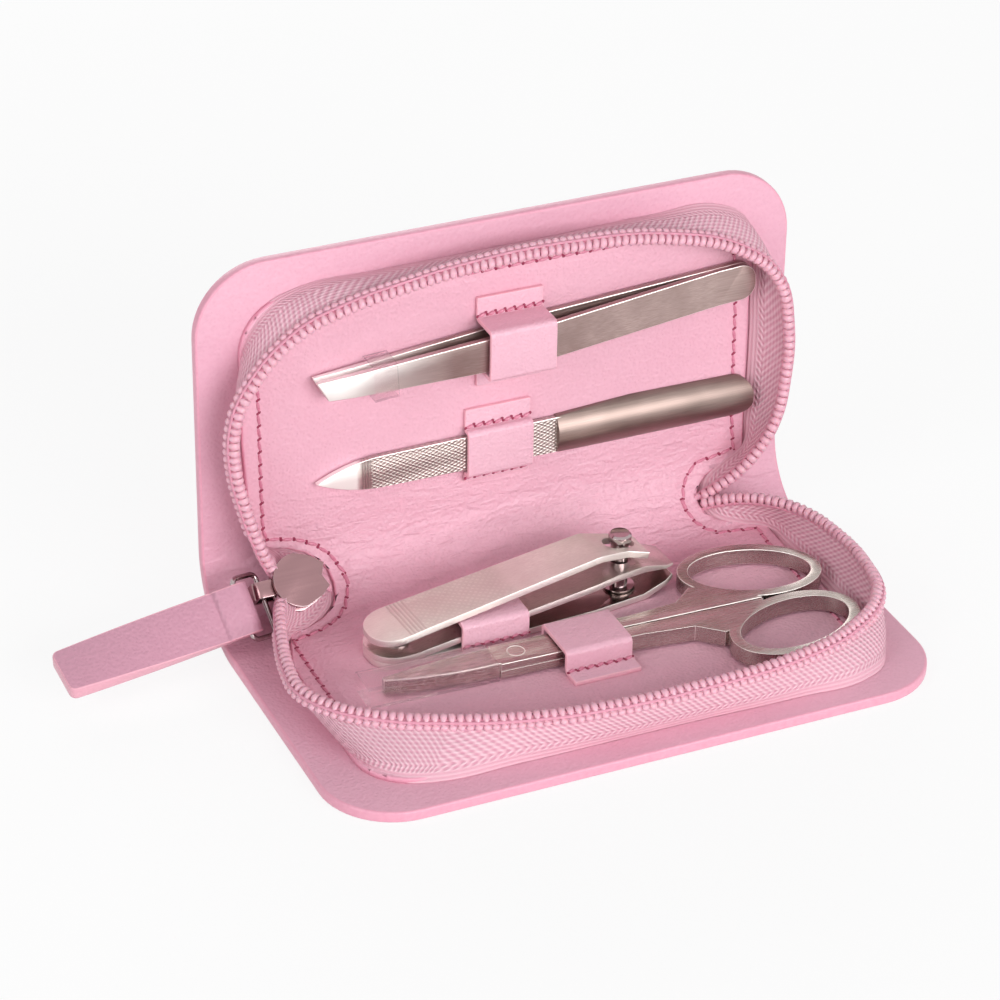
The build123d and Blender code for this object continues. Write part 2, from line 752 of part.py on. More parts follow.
def file_handle():
    """Half-round handle, rolled over the blade's tang."""
    end = file_handle_end
    start = file_handle_start
    half = file_handle_width / 2
    plan = make_face(Polyline((start, half - 0.9), (start + 16, half), (end, half - 0.3),
                              (end, 0.3 - half), (start + 16, -half), (start, 0.9 - half),
                              close=True))
    plan = fillet(plan.vertices().sort_by(Axis.X)[-2:], half - 0.9)
    radius = (half ** 2 + file_handle_height ** 2) / (2 * file_handle_height)
    crown = Plane.YZ * Pos(0, file_handle_height - radius) * Circle(radius)
    rod = Pos(start - 1, 0, 0) * extrude(crown, amount=end - start + 2)
    solid = rod & plate(plan, 0, 10)
    handle = lid_half(Pos(0, file_v, floor_of_tools) * solid)
    return handle - file_blade()


def offset_at(x, start, angle):
    """How far from the fold line a tool's middle line is at x, from its start and its angle."""
    return start[1] - (x - start[0]) * math.tan(math.radians(angle))


def skew(angle):
    """Extra width that a loop needs over a tool that crosses it at an angle."""
    return loop_length * math.sin(math.radians(abs(angle)))


for half_name, place in (("base", base_half), ("lid", lid_half)):
    nodes[half_name + "_cover"] = place(cover_panel())
    nodes[half_name + "_board"] = place(cover_board())
    nodes[half_name + "_facing"] = place(cover_facing())
    nodes[half_name + "_lining"] = place(lining())
    nodes[half_name + "_zip_tape"] = place(zip_wall())
    nodes[half_name + "_zip_coil"] = place(zip_coil())

nodes["spine_cover"] = spine_frame(spine_cover())
nodes["spine_lining"] = spine_frame(spine_lining())
nodes["zip_end_left"] = spine_frame(zip_end(-1))
nodes["zip_end_right"] = spine_frame(zip_end(1))
nodes["zip_slider"] = spine_frame(slider())
nodes["pull_ring"] = spine_frame(pull_ring())
nodes["pull_tab"] = spine_frame(pull_tab())

clipper_v = offset_at(clipper_loop_x, clipper_rear, clipper_angle)
scissors_v = offset_at(scissors_loop_x, screw_at, scissors_angle)
tweezers_v = offset_at(tweezers_loop_x, tweezers_tail, -tweezers_angle)
clipper_top = floor_of_tools + 2 * clipper_plate + clipper_loop_rise
tweezers_top = floor_of_tools + tweezers_lift + 2 * tweezers_sheet + tweezers_bow
file_top = floor_of_tools + file_lift + file_blade_thickness
nodes["clipper_loop"] = base_half(loop(clipper_loop_x, clipper_v, clipper_width + skew(clipper_angle),
                                       clipper_top, loop_gap, glued_edge, glued_edge))
nodes["scissors_loop"] = base_half(loop(scissors_loop_x, scissors_v, 2 * joint_half_width,
                                        floor_of_tools + scissors_height, scissors_play,
                                        glued_edge, loop_flap))
nodes["tweezers_loop"] = lid_half(loop(tweezers_loop_x, tweezers_v,
                                       tweezers_width + skew(tweezers_angle),
                                       tweezers_top, loop_gap, loop_flap, loop_flap))
nodes["file_loop"] = lid_half(loop(file_loop_x, file_v, file_blade_width, file_top,
                                   loop_gap, glued_edge, loop_flap))

nodes["clipper_lower_plate"] = clipper_place(clipper_lower_plate())
nodes["clipper_upper_plate"] = clipper_place(clipper_upper_plate())
nodes["clipper_rivet"] = clipper_place(clipper_rivet())
nodes["clipper_post"] = clipper_place(clipper_post())
nodes["clipper_lever"] = clipper_place(clipper_lever())

nodes["scissors_upper_half"] = scissors_place(scissors_half(1))
nodes["scissors_lower_half"] = scissors_place(scissors_half(-1))
nodes["scissors_screw"] = scissors_place(scissors_screw())
nodes["tip_sleeve"] = scissors_place(tip_sleeve())

nodes["tweezers_back_arm"] = tweezers_place(tweezers_back_arm())
nodes["tweezers_front_arm"] = tweezers_place(tweezers_front_arm())
nodes["tweezers_band"] = tweezers_place(tweezers_band())
nodes["file_blade"] = file_blade()
nodes["file_handle"] = file_handle()

os.makedirs("parts", exist_ok=True)
for name, shape in nodes.items():
    export_step(shape, os.path.join("parts", name + ".step"))
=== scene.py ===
"""A zip-round manicure set case in pink faux leather, open like a book, with its four tools.

Shapes are worked out in millimetres and turned to metres when a piece is finished. The lower
half lies on the floor. Its soft pieces are drawn flat as (x, distance in front of the fold
line, height), and run on over the fold and half-way round the spine's bend. The lid's pieces
are drawn the same way and mirrored about the middle of the bend. Only the zip's coils are
drawn where they stand.
"""
import json
import math

import bmesh
import bpy
from mathutils import Matrix, Vector


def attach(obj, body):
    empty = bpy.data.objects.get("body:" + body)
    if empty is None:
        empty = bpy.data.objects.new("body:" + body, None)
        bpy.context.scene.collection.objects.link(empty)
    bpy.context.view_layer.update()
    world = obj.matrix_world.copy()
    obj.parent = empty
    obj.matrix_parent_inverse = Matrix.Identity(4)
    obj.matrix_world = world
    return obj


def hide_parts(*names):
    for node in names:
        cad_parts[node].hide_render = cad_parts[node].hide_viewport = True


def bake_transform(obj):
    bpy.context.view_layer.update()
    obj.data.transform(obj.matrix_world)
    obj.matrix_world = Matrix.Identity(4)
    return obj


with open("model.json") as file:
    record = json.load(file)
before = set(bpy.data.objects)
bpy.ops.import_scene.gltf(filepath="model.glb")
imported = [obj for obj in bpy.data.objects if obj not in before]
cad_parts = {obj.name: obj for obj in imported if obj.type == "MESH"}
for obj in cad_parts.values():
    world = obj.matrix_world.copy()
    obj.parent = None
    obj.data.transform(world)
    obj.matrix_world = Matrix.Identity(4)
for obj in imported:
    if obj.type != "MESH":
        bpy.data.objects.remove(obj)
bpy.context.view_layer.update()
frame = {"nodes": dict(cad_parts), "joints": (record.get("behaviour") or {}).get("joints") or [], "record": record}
nodes = frame["nodes"]

# ---- the case's sizes, in millimetres
FOLD_Y = 29.0
BEND_CENTRE = (29.0, 16.515)       # y and z of the spine's bend
LID_FACE_Y = 45.515                # outside of the standing lid
COVER = 2.2                        # thickness, and so the height of its inner face
COVER_LENGTH = 120.0
COVER_DEPTH = 58.0
COVER_CORNER = 14.0
COVER_ROUND = 0.45                 # of its painted edges
LINING_TOP = 3.2
LINING_CORNER = 11.0
LINING_ROUND = 0.3
GROOVE_DEPTH = 0.3                 # a seam pulls the lining in
GROOVE_WIDTH = 0.9
RIDGE_HEIGHT = 0.08                # and it swells again this far from the seam
RIDGE_AWAY = 2.2
RIDGE_WIDTH = 1.2
SEAM_PITCH = 2.75                  # from stitch to stitch in the lining, and the thread's thickness
SEAM_THREAD = 0.7
BEND_ARC = 12.11                   # fold line to the bend's middle, in the middle of the cover
COIL_PITCH = 1.5
COIL_LEAN = 35.0                   # degrees that the coil's free edge leans inwards
TURN_STEPS = 12                    # points in each turn of its wire
TURN_HEIGHT = 0.95                 # from a turn's middle to its top, and to its side
TURN_WIDTH = 0.6
WIRE = 0.5                         # half the wire's thickness, and what its teeth add to it
TOOTH = 0.21
SLIDER_MOUTH_X = -46.5             # where both coils come out of the slider
DIP = 1.7                          # they sink this far to pass under the slider's plate,
DIP_X = -53.0                      # from here, over this length towards the slider,
DIP_LENGTH = 4.5
DIP_POINTS = 150                   # and only in the line's first points
# Between these two places the zip would go over from its half to the spine; hold works them out, but nothing uses
# them
ZIP_HOLD = (Vector((0, 27.0, 1.5)), Vector((0, 29.97, 4.32)))
TAPE_SHEET = 0.5
TAPE_SWELL = 0.7                   # it bows outwards half-way up
TAPE_HEIGHT = 8.2
TAPE_ROW = 1.3                     # weave: spacing of its rows along the tape, and of its threads
TAPE_THREAD = 0.8
TAPE_TURN = 3.0                    # from the tape's root to where its rows turn the other way
STRAP = 0.9
STRAP_BEND = 1.1
LOOP_LENGTH = 13.4
LOOP_PITCH = 1.85
LOOP_THREAD = 0.72
FILE_TOOTH = 0.66
# Along the file in x, and along the lever from its rear end: where each pattern starts and ends
FILE_DIAMONDS = (-26.8, 13.0)
FILE_LINES = (-28.9, -27.2)
# The file's plain tip, made paler there as a painted highlight
FILE_TIP_PAINTED_HIGHLIGHT = (-45.0, -29.3)
GRIP_HATCH = (10.2, 27.0)
GRIP_LINES = (6.4, 10.0)
TAB_CORNER = 1.3
TAB_ROUND = 0.4
TAB_TWIST = math.radians(33)       # of the pull, from the ring to its free end
CLIPPER_REAR = (-37.9, 16.7)
CLIPPER_ANGLE = 3.6
SCISSORS_ANGLE = -1.5
TWEEZERS_ANGLE = 3.45

# ---- the camera in degrees, metres and millimetres of lens, and the room's light
CAMERA_ANGLES = (-24.449, 30.868, 0.879)     # round the case, down on it, and tilt
CAMERA_PLACE = (-0.247388, -0.502002, 0.372081)
CAMERA_LENS = 131.1
WORLD_LIGHT = 0.33


# ---- materials
def srgb(code):
    """A hex colour as the linear values that Blender shades with."""
    parts = [int(code[i:i + 2], 16) / 255 for i in (1, 3, 5)]
    linear = [c / 12.92 if c <= 0.04045 else ((c + 0.055) / 1.055) ** 2.4 for c in parts]
    return (*linear, 1.0)


def add(tree, kind, inputs=None, **settings):
    """One shader node with its settings, and its inputs set or linked."""
    made = tree.nodes.new("ShaderNode" + kind)
    for key, value in settings.items():
        setattr(made, key, value)
    for key, value in (inputs or {}).items():
        if isinstance(value, bpy.types.NodeSocket):
            tree.links.new(value, made.inputs[key])
        else:
            made.inputs[key].default_value = value
    return made


def surface(name, colour, roughness, metallic=0.0, **more):
    """A material with a Principled shader. Gives the tree, the shader and the material."""
    made = bpy.data.materials.new(name)
    made.use_nodes = True
    tree = made.node_tree
    shader = tree.nodes["Principled BSDF"]
    shader.inputs["Base Color"].default_value = srgb(colour)
    shader.inputs["Roughness"].default_value = roughness
    shader.inputs["Metallic"].default_value = metallic
    for key, value in more.items():
        shader.inputs[key.replace("_", " ")].default_value = value
    made.diffuse_color = srgb(colour)
    return tree, shader, made


def between(tree, factor, low, high):
    """A colour between two hex colours, as a socket."""
    mix = add(tree, "Mix", {"Factor": factor}, data_type="RGBA")
    mix.inputs[6].default_value = srgb(low)
    mix.inputs[7].default_value = srgb(high)
    return mix.outputs[2]


def bump(tree, shader, height, distance_mm):
    """Relief that a shader shows: how deep it goes where the height runs from 0 to 1."""
    relief = add(tree, "Bump", {"Height": height, "Distance": distance_mm / 1000,
                                "Strength": 1.0})
    tree.links.new(relief.outputs["Normal"], shader.inputs["Normal"])


def calculate(tree, operation, first, second=0.0):
    """One step of arithmetic, as a socket."""
    return add(tree, "Math", {0: first, 1: second}, operation=operation).outputs[0]


def wave(tree, place, direction, spacing_mm):
    """Ridges and grooves across one direction, from -1 to 1, every so many millimetres."""
    scaled = [c * 2 * math.pi * 1000 / spacing_mm for c in direction]
    run = add(tree, "VectorMath", {0: place, 1: scaled}, operation="DOT_PRODUCT")
    return calculate(tree, "SINE", run.outputs["Value"])


def faux_leather(name, pale, deep, roughness=0.45, pebble_mm=0.62, crease_mm=0.0, relief_mm=0.1):
    """Embossed polyurethane leather: soft pebbles under a satin skin, slightly uneven in colour.
    Near the spine it can be creased, in lines that run along the bend."""
    tree, shader, made = surface(name, deep, roughness, Specular_IOR_Level=0.35)
    place = add(tree, "TexCoord").outputs["Object"]
    cloud = add(tree, "TexNoise", {"Vector": place, "Scale": 1000 / 26, "Detail": 3.0})
    pebbles = add(tree, "TexVoronoi", {"Vector": place, "Scale": 1000 / pebble_mm},
                  feature="SMOOTH_F1")
    tone = calculate(tree, "MULTIPLY", pebbles.outputs["Distance"], 0.5)
    tone = calculate(tree, "ADD", tone, cloud.outputs[0])
    tree.links.new(between(tree, tone, deep, pale), shader.inputs["Base Color"])
    fine = add(tree, "TexNoise", {"Vector": place, "Scale": 1000 / 1.8, "Detail": 3.0})
    height = calculate(tree, "MULTIPLY", pebbles.outputs["Distance"], 1.5)
    height = calculate(tree, "ADD", height, fine.outputs[0])
    if crease_mm:
        split = add(tree, "SeparateXYZ", {0: place})
        away = calculate(tree, "SUBTRACT", split.outputs[2], split.outputs[1])
        near = add(tree, "MapRange", {"Value": away, "From Min": -0.006, "From Max": -0.032})
        long = add(tree, "Mapping", {"Vector": place, "Scale": (1.0, 3.0, 3.0)})
        crease = add(tree, "TexNoise", {"Vector": long.outputs[0], "Scale": 1000 / crease_mm,
                                        "Detail": 3.0, "Distortion": 0.9})
        depth = calculate(tree, "MULTIPLY", crease.outputs[0], 7.0)
        depth = calculate(tree, "MULTIPLY", depth, near.outputs[0])
        height = calculate(tree, "ADD", height, depth)
    bump(tree, shader, height, relief_mm)
    return made


cover_leather = faux_leather("faux_leather_cover", "#e2adbf", "#d69aaf", crease_mm=6.0, relief_mm=0.07)
lining_leather = faux_leather("faux_leather_lining", "#e9b4c5", "#dea3b6", 0.4, 0.6, crease_mm=6.0,
                              relief_mm=0.11)
loop_leather = faux_leather("faux_leather_loop", "#e8b7c7", "#dfa9bb", 0.34, 0.5)
tab_leather = faux_leather("faux_leather_tab", "#cc97aa", "#bf899d", 0.48)


def edge_paint(name, low, high):
    """Rubbery paint brushed along a cut edge: brighter than the leather, with a fine drag."""
    tree, shader, made = surface(name, low, 0.42)
    place = add(tree, "TexCoord").outputs["Object"]
    drag = add(tree, "TexNoise", {"Vector": place, "Scale": 1000 / 0.9, "Detail": 2.0})
    tree.links.new(between(tree, drag.outputs[0], low, high), shader.inputs["Base Color"])
    bump(tree, shader, drag.outputs[0], 0.04)
    return made


def woven_tape():
    """Polyester zip tape in a twill weave: slanted rows, each broken into short threads. The rows turn the other
    way near the tape's root, which has straight edge threads. Its colour is darker in the low gaps between
    threads: painted shade."""
    tree, shader, made = surface("woven_polyester_tape", "#f3c3d0", 0.75)
    uv = add(tree, "UVMap", uv_map="along").outputs[0]
    split = add(tree, "SeparateXYZ", {0: uv})
    rise = split.outputs[1]
    turned = calculate(tree, "ABSOLUTE", calculate(tree, "SUBTRACT", rise, TAPE_TURN))
    slant = calculate(tree, "ADD", split.outputs[0], turned)
    row = calculate(tree, "SINE", calculate(tree, "MULTIPLY", slant, 2 * math.pi / TAPE_ROW))
    level = calculate(tree, "SINE", calculate(tree, "MULTIPLY", rise, 2 * math.pi / TAPE_THREAD))
    edge = add(tree, "MapRange", {"Value": rise, "From Min": 1.6, "From Max": 1.9})
    row = calculate(tree, "MULTIPLY", row, edge.outputs[0])
    row = calculate(tree, "MULTIPLY", row, 0.72)
    level = calculate(tree, "MULTIPLY", level, 0.4)
    both = calculate(tree, "ADD", row, level)
    height = add(tree, "MapRange", {"Value": both, "From Min": -1.0}).outputs[0]
    # The colour follows the weave's height, darker in the low gaps: painted shade
    tree.links.new(between(tree, height, "#d092a5", "#e9c3ce"), shader.inputs["Base Color"])
    bump(tree, shader, height, 0.2)
    return made


def plain_pink(name, low, high, roughness, grain_mm, relief_mm, **more):
    """One pink with a little unevenness, for thread, cord and moulded nylon."""
    tree, shader, made = surface(name, low, roughness, **more)
    place = add(tree, "TexCoord").outputs["Object"]
    grain = add(tree, "TexNoise", {"Vector": place, "Scale": 1000 / grain_mm, "Detail": 2.0})
    tree.links.new(between(tree, grain.outputs[0], low, high), shader.inputs["Base Color"])
    bump(tree, shader, grain.outputs[0], relief_mm)
    return made


cover_edge = edge_paint("edge_paint_cover", "#dc94ab", "#e9a9bc")
tab_edge = edge_paint("edge_paint_tab", "#dc9cae", "#e6adbb")
loop_edge = edge_paint("edge_paint_loop", "#f0b0c0", "#f7c4d0")
tape_weave = woven_tape()
# Drawn nylon wire shines softly, and a little light goes into it
coil_nylon = plain_pink("drawn_nylon_wire", "#dba1b2", "#e6b4c3", 0.33, 1.2, 0.01,
                        Subsurface_Weight=0.1, Subsurface_Scale=0.001)
# The cords in and beside the coil are matt, and a little darker than its wire
cord_pink = plain_pink("knitted_polyester_cord", "#d38aa1", "#e09fb2", 0.7, 0.5, 0.05)
# Twisted sewing thread catches the light along its strands
thread_rose = plain_pink("twisted_polyester_thread", "#c0607f", "#e39db2", 0.4, 0.45, 0.06)
# A needle hole shows as a dark dimple, whose dark colour is painted shade in the hole
needle_hole_painted_shade = plain_pink("needle_hole_painted_shade", "#8a2f4b", "#a0405c", 0.9, 0.5, 0.02)


def steel(name, pale, deep, roughness, turn=(0, 0, 0), streak_mm=0.14, relief_mm=0.004, marks=None,
          painted_highlight_span=None):
    """Stainless steel with fine streaks that run one way, from a belt or a polishing wheel.
    Marks adds a pressed or cut pattern, from 0 in its grooves to 1, and the colour darkens with it in the grooves:
    painted shade. The painted highlight span gives two places along x: from the first to the second the metal
    grows white and matt, a painted highlight."""
    tree, shader, made = surface(name, pale, roughness, metallic=1.0)
    place = add(tree, "TexCoord").outputs["Object"]
    stretch = add(tree, "Mapping", {"Vector": place, "Rotation": turn, "Scale": (0.03, 1.0, 1.0)})
    streaks = add(tree, "TexNoise", {"Vector": stretch.outputs[0], "Scale": 1000 / streak_mm,
                                     "Detail": 3.0})
    cloud = add(tree, "TexNoise", {"Vector": place, "Scale": 1000 / 9, "Detail": 2.0})
    shade = calculate(tree, "MULTIPLY", streaks.outputs[0], cloud.outputs[0])
    shade = calculate(tree, "MULTIPLY", shade, 2.0)
    rough = add(tree, "MapRange", {"Value": streaks.outputs[0], "To Min": roughness * 0.75,
                                   "To Max": roughness * 1.3})
    rough = rough.outputs[0]
    if marks:
        pattern = marks(tree, place)
        # The pattern darkens the colour in its grooves, a painted shade, and where it goes above 1, as on the
        # file's tip, it brightens it, a painted highlight
        shade = calculate(tree, "MULTIPLY", shade, pattern)
        height = calculate(tree, "MULTIPLY", streaks.outputs[0], 0.05)
        height = calculate(tree, "ADD", height, pattern)
        bump(tree, shader, height, 0.12)
    else:
        bump(tree, shader, streaks.outputs[0], relief_mm)
    colour = between(tree, shade, deep, pale)
    # Painted highlight: along x the metal is made white and matt between two places
    if painted_highlight_span:
        x = add(tree, "SeparateXYZ", {0: place}).outputs[0]
        tip = add(tree, "MapRange", {"Value": x, "From Min": painted_highlight_span[0] / 1000,
                                     "From Max": painted_highlight_span[1] / 1000}).outputs[0]
        rough = calculate(tree, "MAXIMUM", rough, calculate(tree, "MULTIPLY", tip, 0.65))
        mix = add(tree, "Mix", {"Factor": tip, 6: colour, 7: srgb("#fffdfa")}, data_type="RGBA")
        colour = mix.outputs[2]
    tree.links.new(rough, shader.inputs["Roughness"])
    tree.links.new(colour, shader.inputs["Base Color"])
    return made


def within(tree, value, low, high, soft=0.4):
    """1 between two places in millimetres and 0 outside, with soft ends."""
    rise = add(tree, "MapRange", {"Value": value, "From Min": (low - soft) / 1000,
                                  "From Max": low / 1000})
    fall = add(tree, "MapRange", {"Value": value, "From Min": (high + soft) / 1000,
                                  "From Max": high / 1000})
    return calculate(tree, "MULTIPLY", rise.outputs[0], fall.outputs[0])


def grooves(tree, pattern, where):
    """A pattern of -1 to 1 turned to a height: 1 on the plain metal, less in the grooves."""
    depth = add(tree, "MapRange", {"Value": pattern, "From Min": -1.0, "To Min": 1.0, "To Max": 0.0})
    return calculate(tree, "SUBTRACT", 1.0, calculate(tree, "MULTIPLY", depth.outputs[0], where))


def file_teeth(tree, place):
    """Diamonds cut by two crossing rows of teeth, after a few lines straight across. The plain tip is made paler:
    a painted highlight.
    """
    x = add(tree, "SeparateXYZ", {0: place}).outputs[0]
    one = wave(tree, place, (0.5, 0, 0.87), FILE_TOOTH)
    two = wave(tree, place, (-0.5, 0, 0.87), FILE_TOOTH)
    diamonds = calculate(tree, "MINIMUM", one, two)
    cut = grooves(tree, diamonds, within(tree, x, *FILE_DIAMONDS))
    lines = grooves(tree, wave(tree, place, (1, 0, 0), 0.55), within(tree, x, *FILE_LINES, 0.1))
    # Painted highlight: the plain tip is made paler
    tip = calculate(tree, "MULTIPLY", within(tree, x, *FILE_TIP_PAINTED_HIGHLIGHT), 0.4)
    return calculate(tree, "ADD", calculate(tree, "MULTIPLY", cut, lines), tip)


def lever_grip(tree, place):
    """Five pressed lines across the pad of the lever, and a fine cross-hatch after them."""
    turn = math.radians(CLIPPER_ANGLE)
    along = (math.cos(turn), math.sin(turn), 0)
    run = add(tree, "VectorMath", {0: place, 1: along}, operation="DOT_PRODUCT").outputs["Value"]
    start = CLIPPER_REAR[0] * along[0] + CLIPPER_REAR[1] * along[1]
    one = wave(tree, place, (math.cos(turn + 0.8), math.sin(turn + 0.8), 0), 0.95)
    two = wave(tree, place, (math.cos(turn - 0.8), math.sin(turn - 0.8), 0), 0.95)
    hatch = calculate(tree, "MINIMUM", one, two)
    hatched = within(tree, run, start + GRIP_HATCH[0], start + GRIP_HATCH[1], 2.0)
    cut = grooves(tree, hatch, calculate(tree, "MULTIPLY", hatched, 0.6))
    lined = within(tree, run, start + GRIP_LINES[0], start + GRIP_LINES[1], 0.1)
    lines = grooves(tree, wave(tree, place, along, 0.75), lined)
    return calculate(tree, "MULTIPLY", cut, lines)


along_clipper = (0, 0, math.radians(-CLIPPER_ANGLE))
clipper_steel = steel("brushed_steel_clipper", "#e8dfda", "#bdb3af", 0.3, along_clipper)
# The jaw plate grows white and matt towards its rear: a painted highlight
jaw_steel = steel("polished_steel_jaw_plate", "#a2978f", "#82786f", 0.2, along_clipper,
                  painted_highlight_span=(-8, -26))
lever_steel = steel("brushed_steel_lever", "#f2f1e8", "#d2cdc4", 0.45, along_clipper, marks=lever_grip)
scissors_steel = steel("satin_steel_scissors", "#c6bbb5", "#a1968f", 0.26,
                       (0, 0, math.radians(-SCISSORS_ANGLE)))
# The tweezers grow white and matt towards their tips: a painted highlight
tweezers_steel = steel("brushed_steel_tweezers", "#c2aca7", "#917b76", 0.43,
                       (0, math.radians(TWEEZERS_ANGLE), 0), painted_highlight_span=(-12, -34))
# The file's plain tip grows white and matt: a painted highlight
file_steel = steel("cut_steel_file_blade", "#efe5df", "#b8aca7", 0.38, marks=file_teeth,
                   painted_highlight_span=(-28.6, -30))
handle_steel = steel("brushed_steel_file_handle", "#a08d86", "#7a6a64", 0.42)
# The ground edges of blades and plates are brighter than their faces: partly their ground finish, partly a painted
# highlight along them
ground_edge_highlight = steel("ground_steel_edge_painted_highlight", "#f9f4ef", "#e2dad5", 0.45)
# Polished nickel plate on the ring and the pins: nearly a mirror
nickel = steel("polished_nickel", "#b9a9aa", "#a89899", 0.16, streak_mm=0.2, relief_mm=0.001)
# The slider's plate is a nickel mirror, a little scuffed, tinted rosy as a painted reflection of the pink leather
# round it
pink_reflection_nickel = steel("nickel_slider_pink_reflection", "#a58083", "#9f7a7e", 0.22, streak_mm=0.5, relief_mm=0.0002)


def clear_pvc():
    """Soft clear vinyl film: see-through, slightly cloudy, with a wet-looking shine."""
    tree, shader, made = surface("clear_vinyl", "#fdf4f6", 0.07, Transmission_Weight=1.0, IOR=1.25,
                                 Alpha=0.32)
    place = add(tree, "TexCoord").outputs["Object"]
    haze = add(tree, "TexNoise", {"Vector": place, "Scale": 1000 / 3, "Detail": 2.0})
    bump(tree, shader, haze.outputs[0], 0.08)
    return made


vinyl = clear_pvc()


# ---- shaping helpers
def lower(p):
    """A point drawn flat, placed in the lower half and on round the spine's bend."""
    x, s, h = p
    if s >= 0:
        return Vector((x, FOLD_Y - s, h))
    turn = -s / BEND_ARC * math.radians(45)
    radius = BEND_CENTRE[1] - h
    return Vector((x, FOLD_Y + radius * math.sin(turn), BEND_CENTRE[1] - radius * math.cos(turn)))


def to_lid(p):
    """A point of the lower half, mirrored about the middle of the bend."""
    return Vector((p[0], LID_FACE_Y - p[2], LID_FACE_Y - p[1]))


def piece(bm, name, *materials, smooth=35.0, turned=False):
    """Finish a mesh drawn in millimetres as an object in metres. Turned reverses its faces."""
    if turned:
        bmesh.ops.reverse_faces(bm, faces=bm.faces)
    bmesh.ops.scale(bm, vec=(0.001, 0.001, 0.001), verts=bm.verts)
    mesh = bpy.data.meshes.new(name)
    bm.to_mesh(mesh)
    bm.free()
    for material in materials:
        mesh.materials.append(material)
    mesh.shade_smooth()
    mesh.set_sharp_from_angle(angle=math.radians(smooth))
    made = bpy.data.objects.new(name, mesh)
    bpy.context.scene.collection.objects.link(made)
    return made


def mesh_of(curve):
    """The mesh that a guide curve makes. The curve is used up."""
    guide = bpy.data.objects.new("guide", curve)
    bpy.context.scene.collection.objects.link(guide)
    bpy.context.view_layer.update()
    depsgraph = bpy.context.evaluated_depsgraph_get()
    mesh = bpy.data.meshes.new_from_object(guide.evaluated_get(depsgraph))
    bpy.data.objects.remove(guide)
    bpy.data.curves.remove(curve)
    return mesh


def line_through(points):
    """Points along a smooth line that passes through the given ones."""
    curve = bpy.data.curves.new("guide", "CURVE")
    curve.dimensions = "3D"
    curve.resolution_u = 24
    spline = curve.splines.new("BEZIER")
    spline.bezier_points.add(len(points) - 1)
    for knot, co in zip(spline.bezier_points, points):
        knot.co = co
        knot.handle_left_type = knot.handle_right_type = "AUTO"
    mesh = mesh_of(curve)
    found = [v.co.copy() for v in mesh.vertices]
    bpy.data.meshes.remove(mesh)
    return found


def stations(points, spacing):
    """(place, direction) every so far along a line, its ends included as near as may be."""
    lengths = [0.0]
    for a, b in zip(points, points[1:]):
        lengths.append(lengths[-1] + (b - a).length)
    count = max(1, round(lengths[-1] / spacing))
    found = []
    at = 0
    for i in range(count + 1):
        goal = lengths[-1] * i / count
        while at < len(points) - 2 and lengths[at + 1] < goal:
            at += 1
        share = (goal - lengths[at]) / max(1e-9, lengths[at + 1] - lengths[at])
        step = points[at + 1] - points[at]
        found.append((points[at] + step * share, step.normalized()))
    return found


def cut_across(bm, axis, places):
    """Cut every face along lines across one axis, so that the sheet can bend there."""
    normal = Vector((0, 0, 0))
    normal[axis] = 1
    for place in places:
        geometry = bm.verts[:] + bm.edges[:] + bm.faces[:]
        bmesh.ops.bisect_plane(bm, geom=geometry, dist=1e-4, plane_co=normal * place, plane_no=normal)


def steps_between(low, high, step):
    """Even steps between two values, without the two themselves."""
    count = max(1, round((high - low) / step))
    return [low + (high - low) * i / count for i in range(1, count)]


def raise_sheet(bm, height):
    """Give a flat sheet its thickness. Its faces look outwards here, but end up inwards on both
    halves: lower mirrors it, and on the lid to_lid mirrors it back and piece reverses it."""
    risen = bmesh.ops.extrude_face_region(bm, geom=bm.faces[:])["geom"]
    top = [v for v in risen if isinstance(v, bmesh.types.BMVert)]
    bmesh.ops.translate(bm, vec=(0, 0, height), verts=top)
    bmesh.ops.recalc_face_normals(bm, faces=bm.faces)


def place_all(bm, lid):
    """Move a flat drawing to its half."""
    for v in bm.verts:
        v.co = to_lid(lower(v.co)) if lid else lower(v.co)


HALVES = (("lower", "base", False), ("upper", "lid", True))


def hold(made, lid, upright=False):
    """Bake a soft piece's placing into its mesh. The places where it would stop following its half, at the fold,
    and start following the spine, just past it, are worked out but not used; for the zip they lie along a slant,
    its free edge sooner than its root."""
    start = lower((0, 2.0, 0))
    end = lower((0, -4.0, 0))
    if upright:
        start, end = ZIP_HOLD
    if lid:
        start, end = to_lid(start), to_lid(end)
    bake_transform(made)


# ---- covers: two layers of leather over a board, with a painted edge
def shade_over_join(made):
    """Where the two halves of a sheet meet in the bend, both are shaded as one."""
    across = Vector((0, 1, 1)).normalized()
    normals = []
    for v in made.data.vertices:
        normal = Vector((0, 0, 0))
        if abs(v.co.y + v.co.z - LID_FACE_Y / 1000) < 2e-6:
            normal = (v.normal - across * v.normal.dot(across)).normalized()
        normals.append(normal)
    made.data.normals_split_custom_set_from_vertices(normals)


